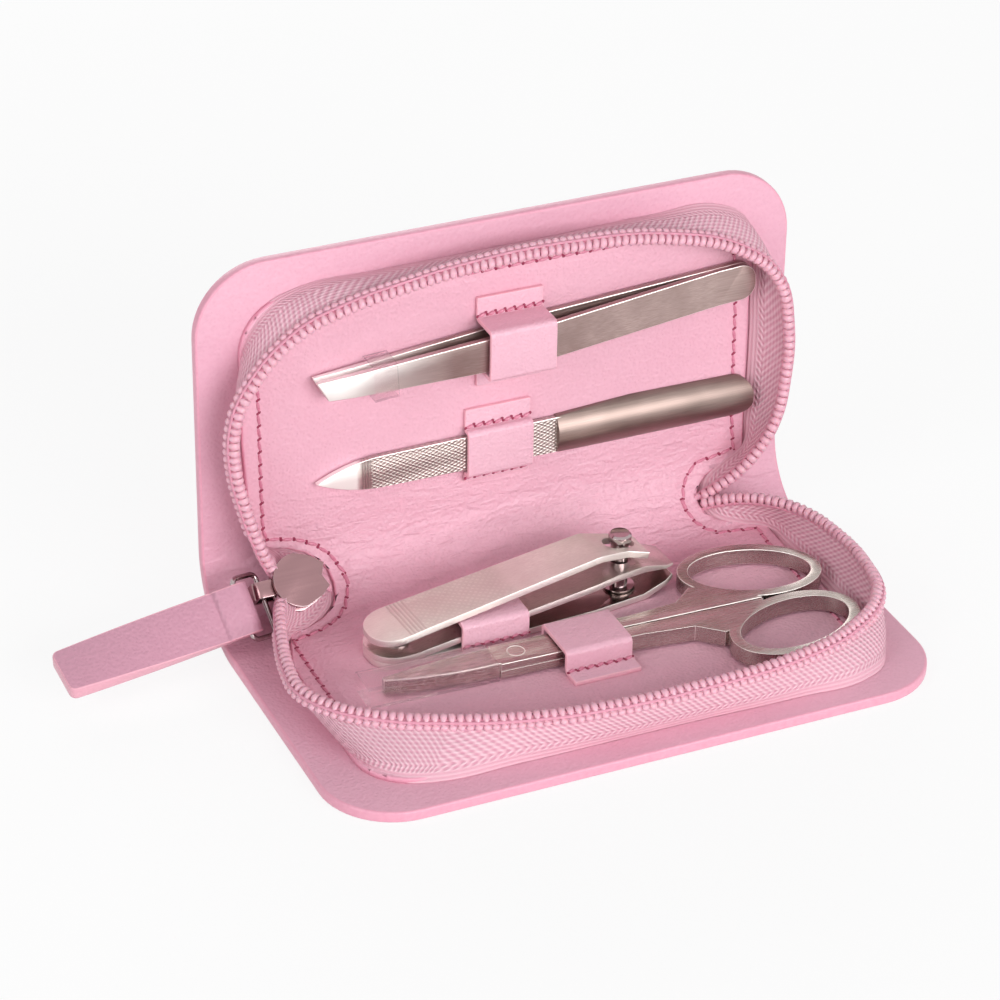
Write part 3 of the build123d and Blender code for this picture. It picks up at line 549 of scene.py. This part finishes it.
def cover(name, body, lid):
    """The leather of one half and of its part of the spine, with painted edges."""
    half = COVER_LENGTH / 2
    bm = bmesh.new()
    corners = [bm.verts.new(co) for co in ((-half, -BEND_ARC, 0), (half, -BEND_ARC, 0),
                                           (half, COVER_DEPTH, 0), (-half, COVER_DEPTH, 0))]
    bm.faces.new(corners)
    bmesh.ops.bevel(bm, geom=corners[2:], offset=COVER_CORNER, segments=14, profile=0.5,
                    affect="VERTICES", material=-1)
    raise_sheet(bm, COVER)
    for face in bm.faces:
        face.material_index = 1 if abs(face.normal.z) < 0.5 else 0
    level = [e for e in bm.edges if abs(e.verts[0].co.z - e.verts[1].co.z) < 1e-3]
    rims = [e for e in level if max(v.co.y for v in e.verts) > 1e-3 - BEND_ARC]
    bmesh.ops.bevel(bm, geom=rims, offset=COVER_ROUND, segments=3, profile=0.5, affect="EDGES",
                    material=1)
    cut_across(bm, 1, steps_between(-BEND_ARC, 2.4, 0.8))
    place_all(bm, lid)
    made = piece(bm, name, cover_leather, cover_edge, turned=lid)
    shade_over_join(made)
    hold(made, lid)
    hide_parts(body + "_cover", body + "_facing", body + "_board", "spine_cover")
    return made


# ---- linings: a sheet over floor, bend and lid, in two halves, cut out round the zip's ends
LINING_OUTLINE = [(-51.9, 22), (-51.0, 8), (-47.6, -1.6), (-43.5, -2.7), (-40.2, -4.4), (-37.5, -6.8),
                  (-36.2, -9.2), (-35.8, -BEND_ARC), (40.9, -BEND_ARC), (41.4, -9.2), (43.4, -6.9),
                  (47.6, -4.7), (52.2, -3.2), (52.0, 6), (51.9, 22), (51.9, 50.9), (-51.9, 50.9)]
STITCH_LINE = [(-33.1, -BEND_ARC), (-33.6, -9.6), (-35.0, -6.4), (-37.6, -3.4), (-41.6, -1.0), (-47.6, 0.6),
               (-48.2, 3.4), (-48.4, 13.4), (-48.6, 36), (-48.2, 41), (-45.5, 45.6), (-40.5, 47.9),
               (0, 48.2), (40.5, 47.9), (45.5, 45.6), (48.3, 41), (48.9, 36), (49.3, 13), (49.7, 3),
               (50.2, -1.8), (46.7, -2.6), (42.4, -3.2), (40.2, -5.2), (38.6, -8.0), (37.8, -BEND_ARC)]


def nearest(p, route):
    """How far a flat point is from a seam."""
    best = 1e9
    for a, b in zip(route, route[1:]):
        run = b - a
        share = max(0.0, min(1.0, (p - a).dot(run) / run.length_squared))
        best = min(best, (p - a - run * share).length)
    return best


def lining(name, body, lid):
    """One half's part of the lining, sunk along its seam and a little raised beside it."""
    bm = bmesh.new()
    outline = [bm.verts.new((x, s, COVER)) for x, s in LINING_OUTLINE]
    bm.faces.new(outline)
    bmesh.ops.bevel(bm, geom=outline[-2:], offset=LINING_CORNER, segments=10, profile=0.5,
                    affect="VERTICES", material=-1)
    bmesh.ops.bevel(bm, geom=[outline[2], outline[12]], offset=0.8, segments=3, profile=0.5,
                    affect="VERTICES", material=-1)
    cut_across(bm, 0, steps_between(-52, 52, 1.3))
    cut_across(bm, 1, steps_between(-BEND_ARC, 51, 1.1))
    raise_sheet(bm, LINING_TOP - COVER)
    middle = (COVER + LINING_TOP) / 2
    rim = [e for e in bm.edges if len(e.link_faces) == 2 and e.calc_face_angle() > 1.2
           and min(v.co.z for v in e.verts) > middle
           and max(v.co.y for v in e.verts) > 0.01 - BEND_ARC]
    for face in bm.faces:
        face.material_index = 1 if abs(face.normal.z) < 0.5 else 0
    bmesh.ops.bevel(bm, geom=rim, offset=LINING_ROUND, segments=2, profile=0.5, affect="EDGES",
                    material=1)
    route = [Vector((x, s, 0)) for x, s in STITCH_LINE]
    for v in bm.verts:
        if v.co.z > middle:
            gap = nearest(Vector((v.co.x, v.co.y, 0)), route)
            v.co.z -= GROOVE_DEPTH * math.exp(-(gap / GROOVE_WIDTH) ** 2)
            v.co.z += RIDGE_HEIGHT * math.exp(-((gap - RIDGE_AWAY) / RIDGE_WIDTH) ** 2)
    place_all(bm, lid)
    made = piece(bm, name, lining_leather, cover_edge, turned=lid, smooth=50)
    shade_over_join(made)
    hold(made, lid)
    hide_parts(body + "_lining", "spine_lining")
    return made


# ---- seams: slanted stitches sunk into the leather, from one needle hole to the next
def sew(bm, points, pitch, thread, place, slant=0.14):
    """Stitches along a flat line of (x, distance, height), moved to where they lie by place."""
    for middle, along in stations(points, pitch):
        start = place(middle)
        ahead = (place(middle + along * 0.1) - start).normalized()
        up = (place(middle + Vector((0, 0, 1))) - start).normalized()
        across = up.cross(ahead).normalized()
        tilt = (ahead + across * slant).normalized()
        turn = Matrix((tilt, up.cross(tilt).normalized(), up)).transposed().to_4x4()
        turn.translation = start
        shape = Matrix.Diagonal((pitch * 0.41, thread * 0.5, thread * 0.5, 1))
        lie = Matrix.Rotation(math.radians(90), 4, "Y")
        bmesh.ops.create_uvsphere(bm, u_segments=8, v_segments=6, radius=1.0, matrix=turn @ shape @ lie)
        # At each end a dark dimple: painted shade for the needle hole
        for side in (-1, 1):
            hole = Matrix.Translation((side * pitch * 0.46, 0, -thread * 0.1))
            shape = Matrix.Diagonal((thread * 0.5, thread * 0.5, thread * 0.2, 1))
            made = bmesh.ops.create_uvsphere(bm, u_segments=8, v_segments=6, radius=1.0,
                                             matrix=turn @ hole @ shape)
            for face in {f for v in made["verts"] for f in v.link_faces}:
                face.material_index = 1


def lining_seam(name, lid):
    """The row of stitches round one half's lining."""
    bm = bmesh.new()
    route = [Vector((x, s, LINING_TOP - 0.15)) for x, s in STITCH_LINE]
    sew(bm, route, SEAM_PITCH, SEAM_THREAD, (lambda p: to_lid(lower(p))) if lid else lower)
    made = piece(bm, name, thread_rose, needle_hole_painted_shade)
    hold(made, lid)
    return made


# ---- loops: straps that rise over a tool, with their flaps sewn to the lining
def loop_seam(node, body, middle, walls, rows, height, place):
    """A short row of stitches along each side of a loop that has one."""
    bm = bmesh.new()
    ends = (middle - LOOP_LENGTH / 2 + 0.9, middle + LOOP_LENGTH / 2 - 0.9)
    for side, wall, out in ((-1, walls[0], rows[0]), (1, walls[1], rows[1])):
        if out:
            line = [Vector((x, wall + side * out, height)) for x in ends]
            sew(bm, line, LOOP_PITCH, LOOP_THREAD, place, 0.35)
    made = piece(bm, node + "_seam", thread_rose, needle_hole_painted_shade)
    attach(made, body)


def tool_loop(node, body, lid, middle, walls, top, flaps, rows, row_height=0.12):
    """Walls are the outer faces of the strap's sides, and flaps how far it runs on each side.
    Rows says how far out of each wall its stitches are, or 0 for none, and row height how far
    above the flaps."""
    place = (lambda p: to_lid(lower(p))) if lid else lower
    foot = LINING_TOP + STRAP
    bm = bmesh.new()
    corners = [(walls[0] - flaps[0], foot), (walls[0], foot), (walls[0], top),
               (walls[1], top), (walls[1], foot), (walls[1] + flaps[1], foot)]
    chain = [bm.verts.new((middle - LOOP_LENGTH / 2, v, h)) for v, h in corners]
    edges = [bm.edges.new(pair) for pair in zip(chain, chain[1:])]
    risen = bmesh.ops.extrude_edge_only(bm, edges=edges)["geom"]
    far = [v for v in risen if isinstance(v, bmesh.types.BMVert)]
    bmesh.ops.translate(bm, vec=(LOOP_LENGTH, 0, 0), verts=far)
    bm.normal_update()
    if max(bm.faces, key=lambda f: f.calc_center_median().z).normal.z < 0:
        bmesh.ops.reverse_faces(bm, faces=bm.faces)
    folds = [e for e in bm.edges if len(e.link_faces) == 2]
    high = [e for e in folds if e.verts[0].co.z > foot + 0.1]
    low = [e for e in folds if e.verts[0].co.z <= foot + 0.1]
    bmesh.ops.bevel(bm, geom=high, offset=STRAP_BEND, segments=6, profile=0.5, affect="EDGES",
                    material=-1)
    bmesh.ops.bevel(bm, geom=low, offset=0.45, segments=4, profile=0.5, affect="EDGES", material=-1)
    cut_across(bm, 0, steps_between(middle - LOOP_LENGTH / 2, middle + LOOP_LENGTH / 2, 1.2))
    bmesh.ops.solidify(bm, geom=bm.faces[:], thickness=STRAP)
    # These faces end up inwards too, as raise_sheet says
    bmesh.ops.recalc_face_normals(bm, faces=bm.faces)
    rim = [e for e in bm.edges if len(e.link_faces) == 2 and e.calc_face_angle() > 1.2]
    first, last = walls[0] - flaps[0] + 0.05, walls[1] + flaps[1] - 0.05
    for face in bm.faces:
        at_end = not first <= face.calc_center_median().y <= last
        face.material_index = 1 if at_end or abs(face.normal.x) > 0.9 else 0
    bmesh.ops.bevel(bm, geom=rim, offset=0.16, segments=2, profile=0.5, affect="EDGES", material=1)
    for v in bm.verts:
        v.co = place(v.co)
    made = piece(bm, node + "_strap", loop_leather, loop_edge, turned=lid, smooth=50)
    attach(made, body)
    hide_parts(node)
    loop_seam(node, body, middle, walls, rows, foot + row_height, place)


# ---- zip: woven tape between its root on the cover and the coil along its free edge
COIL_START = [(-41.0, 33.6, 11.7), (-44.5, 32.6, 12.2), (-47.8, 31.0, 12.1), (-50.2, 28.0, 11.5),
              (-52.0, 24.0, 10.9)]
COIL_END = [(47.4, 32.4, 9.6), (44.2, 35.4, 8.2), (41.4, 38.0, 6.6)]
COIL_LOWER = [(-54.2, 17.5, 10.5), (-56.2, 9.0, 10.4), (-56.6, 2.0, 10.4),
              (-53.6, -4.6, 10.4), (-46.7, -11.2, 10.4), (-35.7, -17.0, 10.4), (-24.2, -21.1, 10.4),
              (-10.1, -23.8, 10.4), (9.4, -24.4, 10.4), (30.4, -22.7, 10.4), (44.5, -17.8, 10.4),
              (54.2, -9.2, 10.4), (57.2, 0.9, 10.4), (57.4, 12.6, 10.4), (55.3, 22.0, 10.5),
              (51.5, 28.0, 10.4)]
COIL_UPPER = [(-54.2, 16.5, 10.5), (-56.0, 8.0, 10.4), (-55.9, -1.0, 10.4),
              (-53.5, -7.2, 10.4), (-43.2, -17.6, 10.4), (-34.0, -21.0, 10.4), (-22.0, -23.2, 10.4),
              (-10.1, -24.6, 10.4), (9.4, -25.0, 10.4), (30.4, -22.7, 10.4), (46.5, -16.8, 10.4),
              (54.2, -9.2, 10.4), (56.8, 0.9, 10.4), (56.8, 12.6, 10.4), (54.9, 22.0, 10.5),
              (51.3, 28.0, 10.4)]
ROOT_LINE = [(-36.4, -11.4), (-37.0, -8.4), (-39.4, -5.6), (-43.0, -3.2), (-48.0, -1.2), (-51.6, 5.5),
             (-52.6, 14.0), (-52.0, 27.0), (-50.6, 42.0), (-47.4, 48.4), (-41.5, 51.3), (-24.0, 52.0),
             (-8.0, 52.1), (9.4, 52.2), (30.4, 52.7), (44.5, 52.3), (51.2, 47.5), (52.8, 30.0),
             (53.0, 16.0), (52.8, 5.0), (52.2, -1.8), (47.6, -4.2), (43.6, -6.6), (41.4, -10.8)]


def zip_rails(lid):
    """The tape's root and the coil's line, point for point."""
    route = COIL_START + (COIL_UPPER if lid else COIL_LOWER) + COIL_END
    coil = line_through([Vector(p) for p in route])
    root = line_through([Vector((x, s, COVER + 0.15)) for x, s in ROOT_LINE])
    return coil, [lower(p) for p in root]


def tape(name, body, lid):
    """A ribbon from root to coil, bowed out a little, with a woven pattern along it."""
    coil, root = zip_rails(lid)
    bm = bmesh.new()
    run = bm.verts.layers.float.new("run")
    rise = bm.verts.layers.float.new("rise")
    rails = []
    for points, share in ((root, 0), (coil, 1)):
        verts = [bm.verts.new(p) for p in points]
        rails += [bm.edges.new(pair) for pair in zip(verts, verts[1:])]
        far = 0.0
        for i, v in enumerate(verts):
            far += (coil[i] - coil[max(0, i - 1)]).length
            v[run] = far
            v[rise] = share * (coil[i] - root[i]).length
    bmesh.ops.bridge_loops(bm, edges=rails)
    rungs = [e for e in bm.edges if e not in rails]
    bmesh.ops.subdivide_edges(bm, edges=rungs, cuts=5, use_grid_fill=True)
    along = bm.loops.layers.uv.new("along")
    for face in bm.faces:
        for corner in face.loops:
            corner[along].uv = (corner.vert[run], corner.vert[rise])
    bmesh.ops.recalc_face_normals(bm, faces=bm.faces)
    if sum(f.normal.dot(f.calc_center_median() - Vector((0, 5, 6))) for f in bm.faces) < 0:
        bmesh.ops.reverse_faces(bm, faces=bm.faces)
    bm.normal_update()
    for v in bm.verts:
        height = (v.co.z - COVER) / TAPE_HEIGHT
        swell = TAPE_SWELL * math.sin(math.pi * max(0.0, min(1.0, height)))
        v.co += v.normal * swell
    bmesh.ops.solidify(bm, geom=bm.faces[:], thickness=TAPE_SHEET)
    if lid:
        for v in bm.verts:
            v.co = to_lid(v.co)
    made = piece(bm, name, tape_weave, turned=lid)
    hold(made, lid, upright=True)
    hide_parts(body + "_zip_tape", "zip_end_left", "zip_end_right")
    return made


def tube(points, radii):
    """A mesh of a round wire through points, as thick at each as its radius."""
    curve = bpy.data.curves.new("guide", "CURVE")
    curve.dimensions = "3D"
    curve.bevel_depth = 1.0
    curve.bevel_resolution = 1
    curve.use_fill_caps = True
    spline = curve.splines.new("POLY")
    spline.points.add(len(points) - 1)
    for knot, co, radius in zip(spline.points, points, radii):
        knot.co = (*co, 1)
        knot.radius = radius
    mesh = mesh_of(curve)
    bm = bmesh.new()
    bm.from_mesh(mesh)
    bpy.data.meshes.remove(mesh)
    return bm


def zip_frame(lid, step):
    """(place, along, free edge, outer side) at even steps of the coil, from the slider on."""
    coil = zip_rails(lid)[0]
    while coil[0].x > SLIDER_MOUTH_X:
        coil.pop(0)
    for place in coil[:DIP_POINTS]:
        near = max(0.0, min(1.0, (place.x - DIP_X) / DIP_LENGTH))
        place += Vector((0, 1, -1)).normalized() * DIP * near * near * (3 - 2 * near)
    found = []
    rise = Vector((0, 0, 1))
    lean = math.radians(COIL_LEAN)
    for place, along in stations(coil, step):
        outward = along.cross(rise).normalized()
        free = (rise * math.cos(lean) - outward * math.sin(lean)).normalized()
        out = along.cross(free).normalized()
        found.append((place, along, free, out))
    return found


def nylon_coil(name, body, lid):
    """One nylon wire wound into a flat spiral. Each turn stands square to the tape and moves
    on to the next at its foot, and it is pressed thicker at the top, where it makes a tooth."""
    points = []
    radii = []
    for i, (place, along, free, out) in enumerate(zip_frame(lid, COIL_PITCH / TURN_STEPS)):
        share = i / TURN_STEPS % 1
        back = share if share < 0.5 else share - 1
        reach = math.cos(share * 2 * math.pi)
        points.append(place - along * back * COIL_PITCH * 0.85 + free * (TURN_HEIGHT * reach - 0.1)
                      + out * TURN_WIDTH * math.sin(share * 2 * math.pi))
        radii.append(WIRE + TOOTH * min(1.0, 2.2 * max(0.0, reach)))
    if lid:
        points = [to_lid(p) for p in points]
    made = piece(tube(points, radii), name, coil_nylon, smooth=60)
    hold(made, lid, upright=True)
    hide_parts(body + "_zip_coil")
    return made


def coil_sewing(name, lid):
    """What holds the coil to the tape: a filler cord inside it, a sewn cord along each side of
    its turns, and a bead of thread over every foot. By the slider there are no outer beads,
    because the leather pull touched them when it swung."""
    bm = bmesh.new()
    place_by = to_lid if lid else Vector
    for place, along, free, out in zip_frame(lid, COIL_PITCH):
        by_slider = place.x < 0 and place.y > 22
        sides = (-1,) if by_slider else (-1, 1)
        for side in sides:
            turn = Matrix((along, free, out)).transposed().to_4x4()
            turn.translation = place - free * 1.2 + out * side * 0.5
            shape = Matrix.Diagonal((COIL_PITCH * 0.5, 0.62, 0.48, 1))
            bmesh.ops.create_icosphere(bm, subdivisions=2, radius=1.0, matrix=turn @ shape)
    for v in bm.verts:
        v.co = place_by(v.co)
    made = piece(bm, name + "_thread", coil_nylon, turned=lid)
    hold(made, lid, upright=True)
    fine = zip_frame(lid, 0.8)
    cords = (("_filler", 0.0, 0.0, 0.6), ("_outer_cord", -0.42, 0.85, 0.3),
             ("_inner_cord", -0.42, -0.85, 0.3))
    for part, height, aside, radius in cords:
        points = [place_by(place + free * height + out * aside) for place, along, free, out in fine]
        made = piece(tube(points, [radius] * len(points)), name + part, cord_pink, smooth=60)
        hold(made, lid, upright=True)


for half_name, body_name, is_lid in HALVES:
    cover("cover_" + half_name, body_name, is_lid)
    lining("lining_" + half_name, body_name, is_lid)
    lining_seam("lining_seam_" + half_name, is_lid)
    tape("zip_tape_" + half_name, body_name, is_lid)
    nylon_coil("zip_coil_" + half_name, body_name, is_lid)
    coil_sewing("zip_coil_" + half_name, is_lid)
tool_loop("clipper_loop", "base", False, -14.5, (3.51, 18.15), 9.9, (0.8, 1.5), (0, 0.12), 1.3)
tool_loop("scissors_loop", "base", False, 0.5, (19.77, 30.97), 8.1, (0.8, 4.0), (0, 0.45))
tool_loop("tweezers_loop", "lid", True, 1.2, (28.565, 39.175), 10.7, (4.0, 4.0), (0, 0.5))
tool_loop("file_loop", "lid", True, -1.0, (5.895, 15.895), 5.9, (1.5, 4.0), (0.4, 0.5))


def closed_chain():
    """The few teeth that are already locked behind the slider, going down under the lining."""
    bm = bmesh.new()
    start, end = [Vector((x, BEND_CENTRE[0] + r * 0.7071, BEND_CENTRE[1] - r * 0.7071))
                  for x, r in ((-40.6, 6.9), (-36.9, 13.3))]
    across = Vector((0, 1, 1)).normalized()
    for i, (place, along) in enumerate(stations([start, end], COIL_PITCH / 2)):
        side = 1 if i % 2 else -1
        turn = Matrix((along, across, along.cross(across))).transposed().to_4x4()
        turn.translation = place + across * side * 0.55
        shape = Matrix.Diagonal((COIL_PITCH * 0.46, 1.25, 0.55, 1))
        bmesh.ops.create_icosphere(bm, subdivisions=2, radius=1.0, matrix=turn @ shape)
    made = piece(bm, "zip_closed_chain", coil_nylon)
    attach(made, "spine")


closed_chain()


# ---- metal parts and the leather pull: the built solids with their edges eased
BODIES = frame["record"]["behaviour"]["bodies"]
BODY_OF = {node: body for body, group in BODIES.items() for node in group}


def copy_of(node):
    """A built solid's mesh in millimetres, merged."""
    bm = bmesh.new()
    bm.from_mesh(nodes[node].data)
    bmesh.ops.transform(bm, matrix=nodes[node].matrix_world, verts=bm.verts)
    bmesh.ops.scale(bm, vec=(1000, 1000, 1000), verts=bm.verts)
    bmesh.ops.remove_doubles(bm, verts=bm.verts, dist=1e-3)
    bmesh.ops.dissolve_limit(bm, angle_limit=math.radians(1.5), verts=bm.verts, edges=bm.edges)
    return bm


def eased(node, name, face, edge, offset_mm, segments=2, angle=25, ground=False):
    """A built solid with a small round on every edge sharper than an angle, and its upright sides finished like
    its edges where they are ground. That paler edge steel is partly a painted highlight."""
    bm = copy_of(node)
    for side in bm.faces:
        side.material_index = 1 if ground and abs(side.normal.z) < 0.5 else 0
    limit = math.radians(angle)
    sharp = [e for e in bm.edges if len(e.link_faces) == 2 and e.calc_face_angle() > limit]
    bmesh.ops.bevel(bm, geom=sharp, offset=offset_mm, segments=segments, profile=0.5, affect="EDGES",
                    material=1, clamp_overlap=True)
    made = piece(bm, name, face, edge, smooth=28)
    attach(made, BODY_OF[node])
    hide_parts(node)
    return made


# The plates' ground edges and sides take the paler edge steel, partly a painted highlight
for plate_node, plate_name, plate_steel in (("clipper_lower_plate", "clipper_jaw_plate", jaw_steel),
                                            ("clipper_upper_plate", "clipper_spring_plate", clipper_steel),
                                            ("clipper_lever", "clipper_press_lever", lever_steel)):
    eased(plate_node, plate_name, plate_steel, ground_edge_highlight, 0.22, ground=True)
eased("clipper_post", "clipper_pin", nickel, nickel, 0.12)
eased("clipper_rivet", "clipper_rear_rivet", nickel, nickel, 0.12)
eased("scissors_upper_half", "scissors_far_half", scissors_steel, ground_edge_highlight, 0.6, 4)
eased("scissors_lower_half", "scissors_near_half", scissors_steel, ground_edge_highlight, 0.6, 4)
eased("scissors_screw", "scissors_joint_screw", scissors_steel, ground_edge_highlight, 0.12)
eased("tweezers_back_arm", "tweezers_rear_arm", tweezers_steel, ground_edge_highlight, 0.15)
eased("tweezers_front_arm", "tweezers_bowed_arm", tweezers_steel, ground_edge_highlight, 0.15)
eased("file_blade", "file_flat_blade", file_steel, ground_edge_highlight, 0.12)
eased("file_handle", "file_rolled_handle", handle_steel, handle_steel, 0.3, 3)
# The slider's rosy tint is a painted reflection
eased("zip_slider", "zip_slider_body", pink_reflection_nickel, nickel, 0.16)
eased("pull_ring", "pull_ring_wire", nickel, nickel, 0.3, 4)
for node_name in ("tip_sleeve", "tweezers_band"):
    mesh = nodes[node_name].data
    mesh.materials.clear()
    mesh.materials.append(vinyl)


def pull_tab():
    """The leather pull: a folded strip with painted edges, twisted towards its free end."""
    bm = copy_of("pull_tab")
    joint = next(j for j in frame["joints"] if j["name"] == "tab_swing")
    pivot = Vector(joint["pos_m"]) * 1000
    across = Vector(joint["axis"]).normalized()
    middle = sum((v.co for v in bm.verts), Vector()) / len(bm.verts)
    along = middle - pivot
    along = (along - across * along.dot(across)).normalized()
    length = max((v.co - pivot).dot(along) for v in bm.verts)
    corners = [e for e in bm.edges if min((v.co - pivot).dot(along) for v in e.verts) > length - 0.1
               and abs((e.verts[0].co - e.verts[1].co).normalized().dot(across)) < 0.2]
    bmesh.ops.bevel(bm, geom=corners, offset=TAB_CORNER, segments=5, profile=0.5, affect="EDGES",
                    material=-1)
    for face in bm.faces:
        end = (face.calc_center_median() - pivot).dot(along) > length - 1.5
        end = end and abs(face.normal.dot(along.cross(across))) < 0.5
        side = end or abs(face.normal.dot(across)) > 0.7
        face.material_index = 1 if side else 0
    sharp = [e for e in bm.edges if len(e.link_faces) == 2 and e.calc_face_angle() > 0.9
             and (abs((e.verts[0].co - e.verts[1].co).normalized().dot(across)) < 0.8
                  or (e.verts[0].co - pivot).dot(along) > length - 2)]
    bmesh.ops.bevel(bm, geom=sharp, offset=TAB_ROUND, segments=3, profile=0.5, affect="EDGES",
                    material=1, clamp_overlap=True)
    for step in steps_between(2.0, length - 2.0, 1.5):
        geometry = bm.verts[:] + bm.edges[:] + bm.faces[:]
        bmesh.ops.bisect_plane(bm, geom=geometry, dist=1e-4, plane_co=pivot + along * step,
                               plane_no=along)
    for v in bm.verts:
        share = max(0.0, min(1.0, ((v.co - pivot).dot(along) - 3.0) / (length - 3.0)))
        turn = Matrix.Rotation(TAB_TWIST * share, 4, along)
        v.co = pivot + turn @ (v.co - pivot)
    made = piece(bm, "pull_tab_strip", tab_leather, tab_edge, smooth=40)
    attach(made, "tab")
    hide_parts("pull_tab")


pull_tab()


# ---- floor, light and camera
def shown_white(tree, lit, share):
    """Mixes a lit surface with plain white where it is seen straight, mirrored or through film."""
    glow = add(tree, "Emission", {"Color": (1, 1, 1, 1), "Strength": 1.0})
    ray = add(tree, "LightPath").outputs
    seen = calculate(tree, "MAXIMUM", ray["Is Camera Ray"], ray["Is Glossy Ray"])
    seen = calculate(tree, "MAXIMUM", seen, ray["Is Transmission Ray"])
    return add(tree, "MixShader", {0: calculate(tree, "MULTIPLY", seen, share), 1: lit,
                                   2: glow.outputs[0]}).outputs[0]


def floor():
    """Matt white paper that runs out of sight."""
    bm = bmesh.new()
    bmesh.ops.create_grid(bm, x_segments=2, y_segments=2, size=3000)
    tree, shader, paper = surface("matt_white_paper", "#f7f7f7", 0.9)
    made = piece(bm, "floor", paper)
    mixed = shown_white(tree, shader.outputs[0], 0.85)
    tree.links.new(mixed, tree.nodes["Material Output"].inputs[0])


def studio():
    """A white room: dim as a light, white where it is seen or mirrored."""
    world = bpy.data.worlds.new("studio")
    world.use_nodes = True
    tree = world.node_tree
    room = tree.nodes["Background"]
    room.inputs["Color"].default_value = (1, 1, 1, 1)
    room.inputs["Strength"].default_value = WORLD_LIGHT
    tree.links.new(shown_white(tree, room.outputs[0], 1.0), tree.nodes["World Output"].inputs[0])
    bpy.context.scene.world = world


def lamp(name, place, aim, size, power):
    """A rectangle of light that looks at a place, in metres and watts."""
    light = bpy.data.lights.new(name, "AREA")
    light.energy = power
    light.shape = "RECTANGLE"
    light.size, light.size_y = size
    made = bpy.data.objects.new(name, light)
    made.location = place
    made.rotation_euler = (Vector(aim) - Vector(place)).to_track_quat("-Z", "Y").to_euler()
    bpy.context.scene.collection.objects.link(made)


def camera():
    """A long lens that looks down on the open case from its front left."""
    turn, rise, roll = (math.radians(angle) for angle in CAMERA_ANGLES)
    level = math.cos(rise)
    forward = Vector((-math.sin(turn) * level, math.cos(turn) * level, -math.sin(rise)))
    right = forward.cross(Vector((0, 0, 1))).normalized()
    up = right.cross(forward)
    side = right * math.cos(roll) + up * math.sin(roll)
    top = up * math.cos(roll) - right * math.sin(roll)
    lens = bpy.data.cameras.new("camera")
    lens.sensor_width = 36.0
    lens.lens = CAMERA_LENS
    lens.clip_start = 0.01
    made = bpy.data.objects.new("camera", lens)
    place = Matrix((side, top, -forward)).transposed().to_4x4()
    place.translation = Vector(CAMERA_PLACE)
    made.matrix_world = place
    bpy.context.scene.collection.objects.link(made)
    bpy.context.scene.camera = made


floor()
studio()
lamp("front_window", (0.22, -0.95, 0.36), (0, 0.02, 0.02), (0.9, 0.5), 9.0)
lamp("left_window", (-0.9, -0.35, 0.5), (0, 0.02, 0.02), (0.5, 0.5), 3.4)
lamp("back_window", (0.1, 1.0, 0.4), (0, 0.02, 0.03), (0.8, 0.5), 4.5)
lamp("overhead", (0.1, 0.1, 1.1), (0, 0.02, 0.0), (0.8, 0.8), 0.4)
bpy.context.scene.view_settings.view_transform = "Standard"
camera()
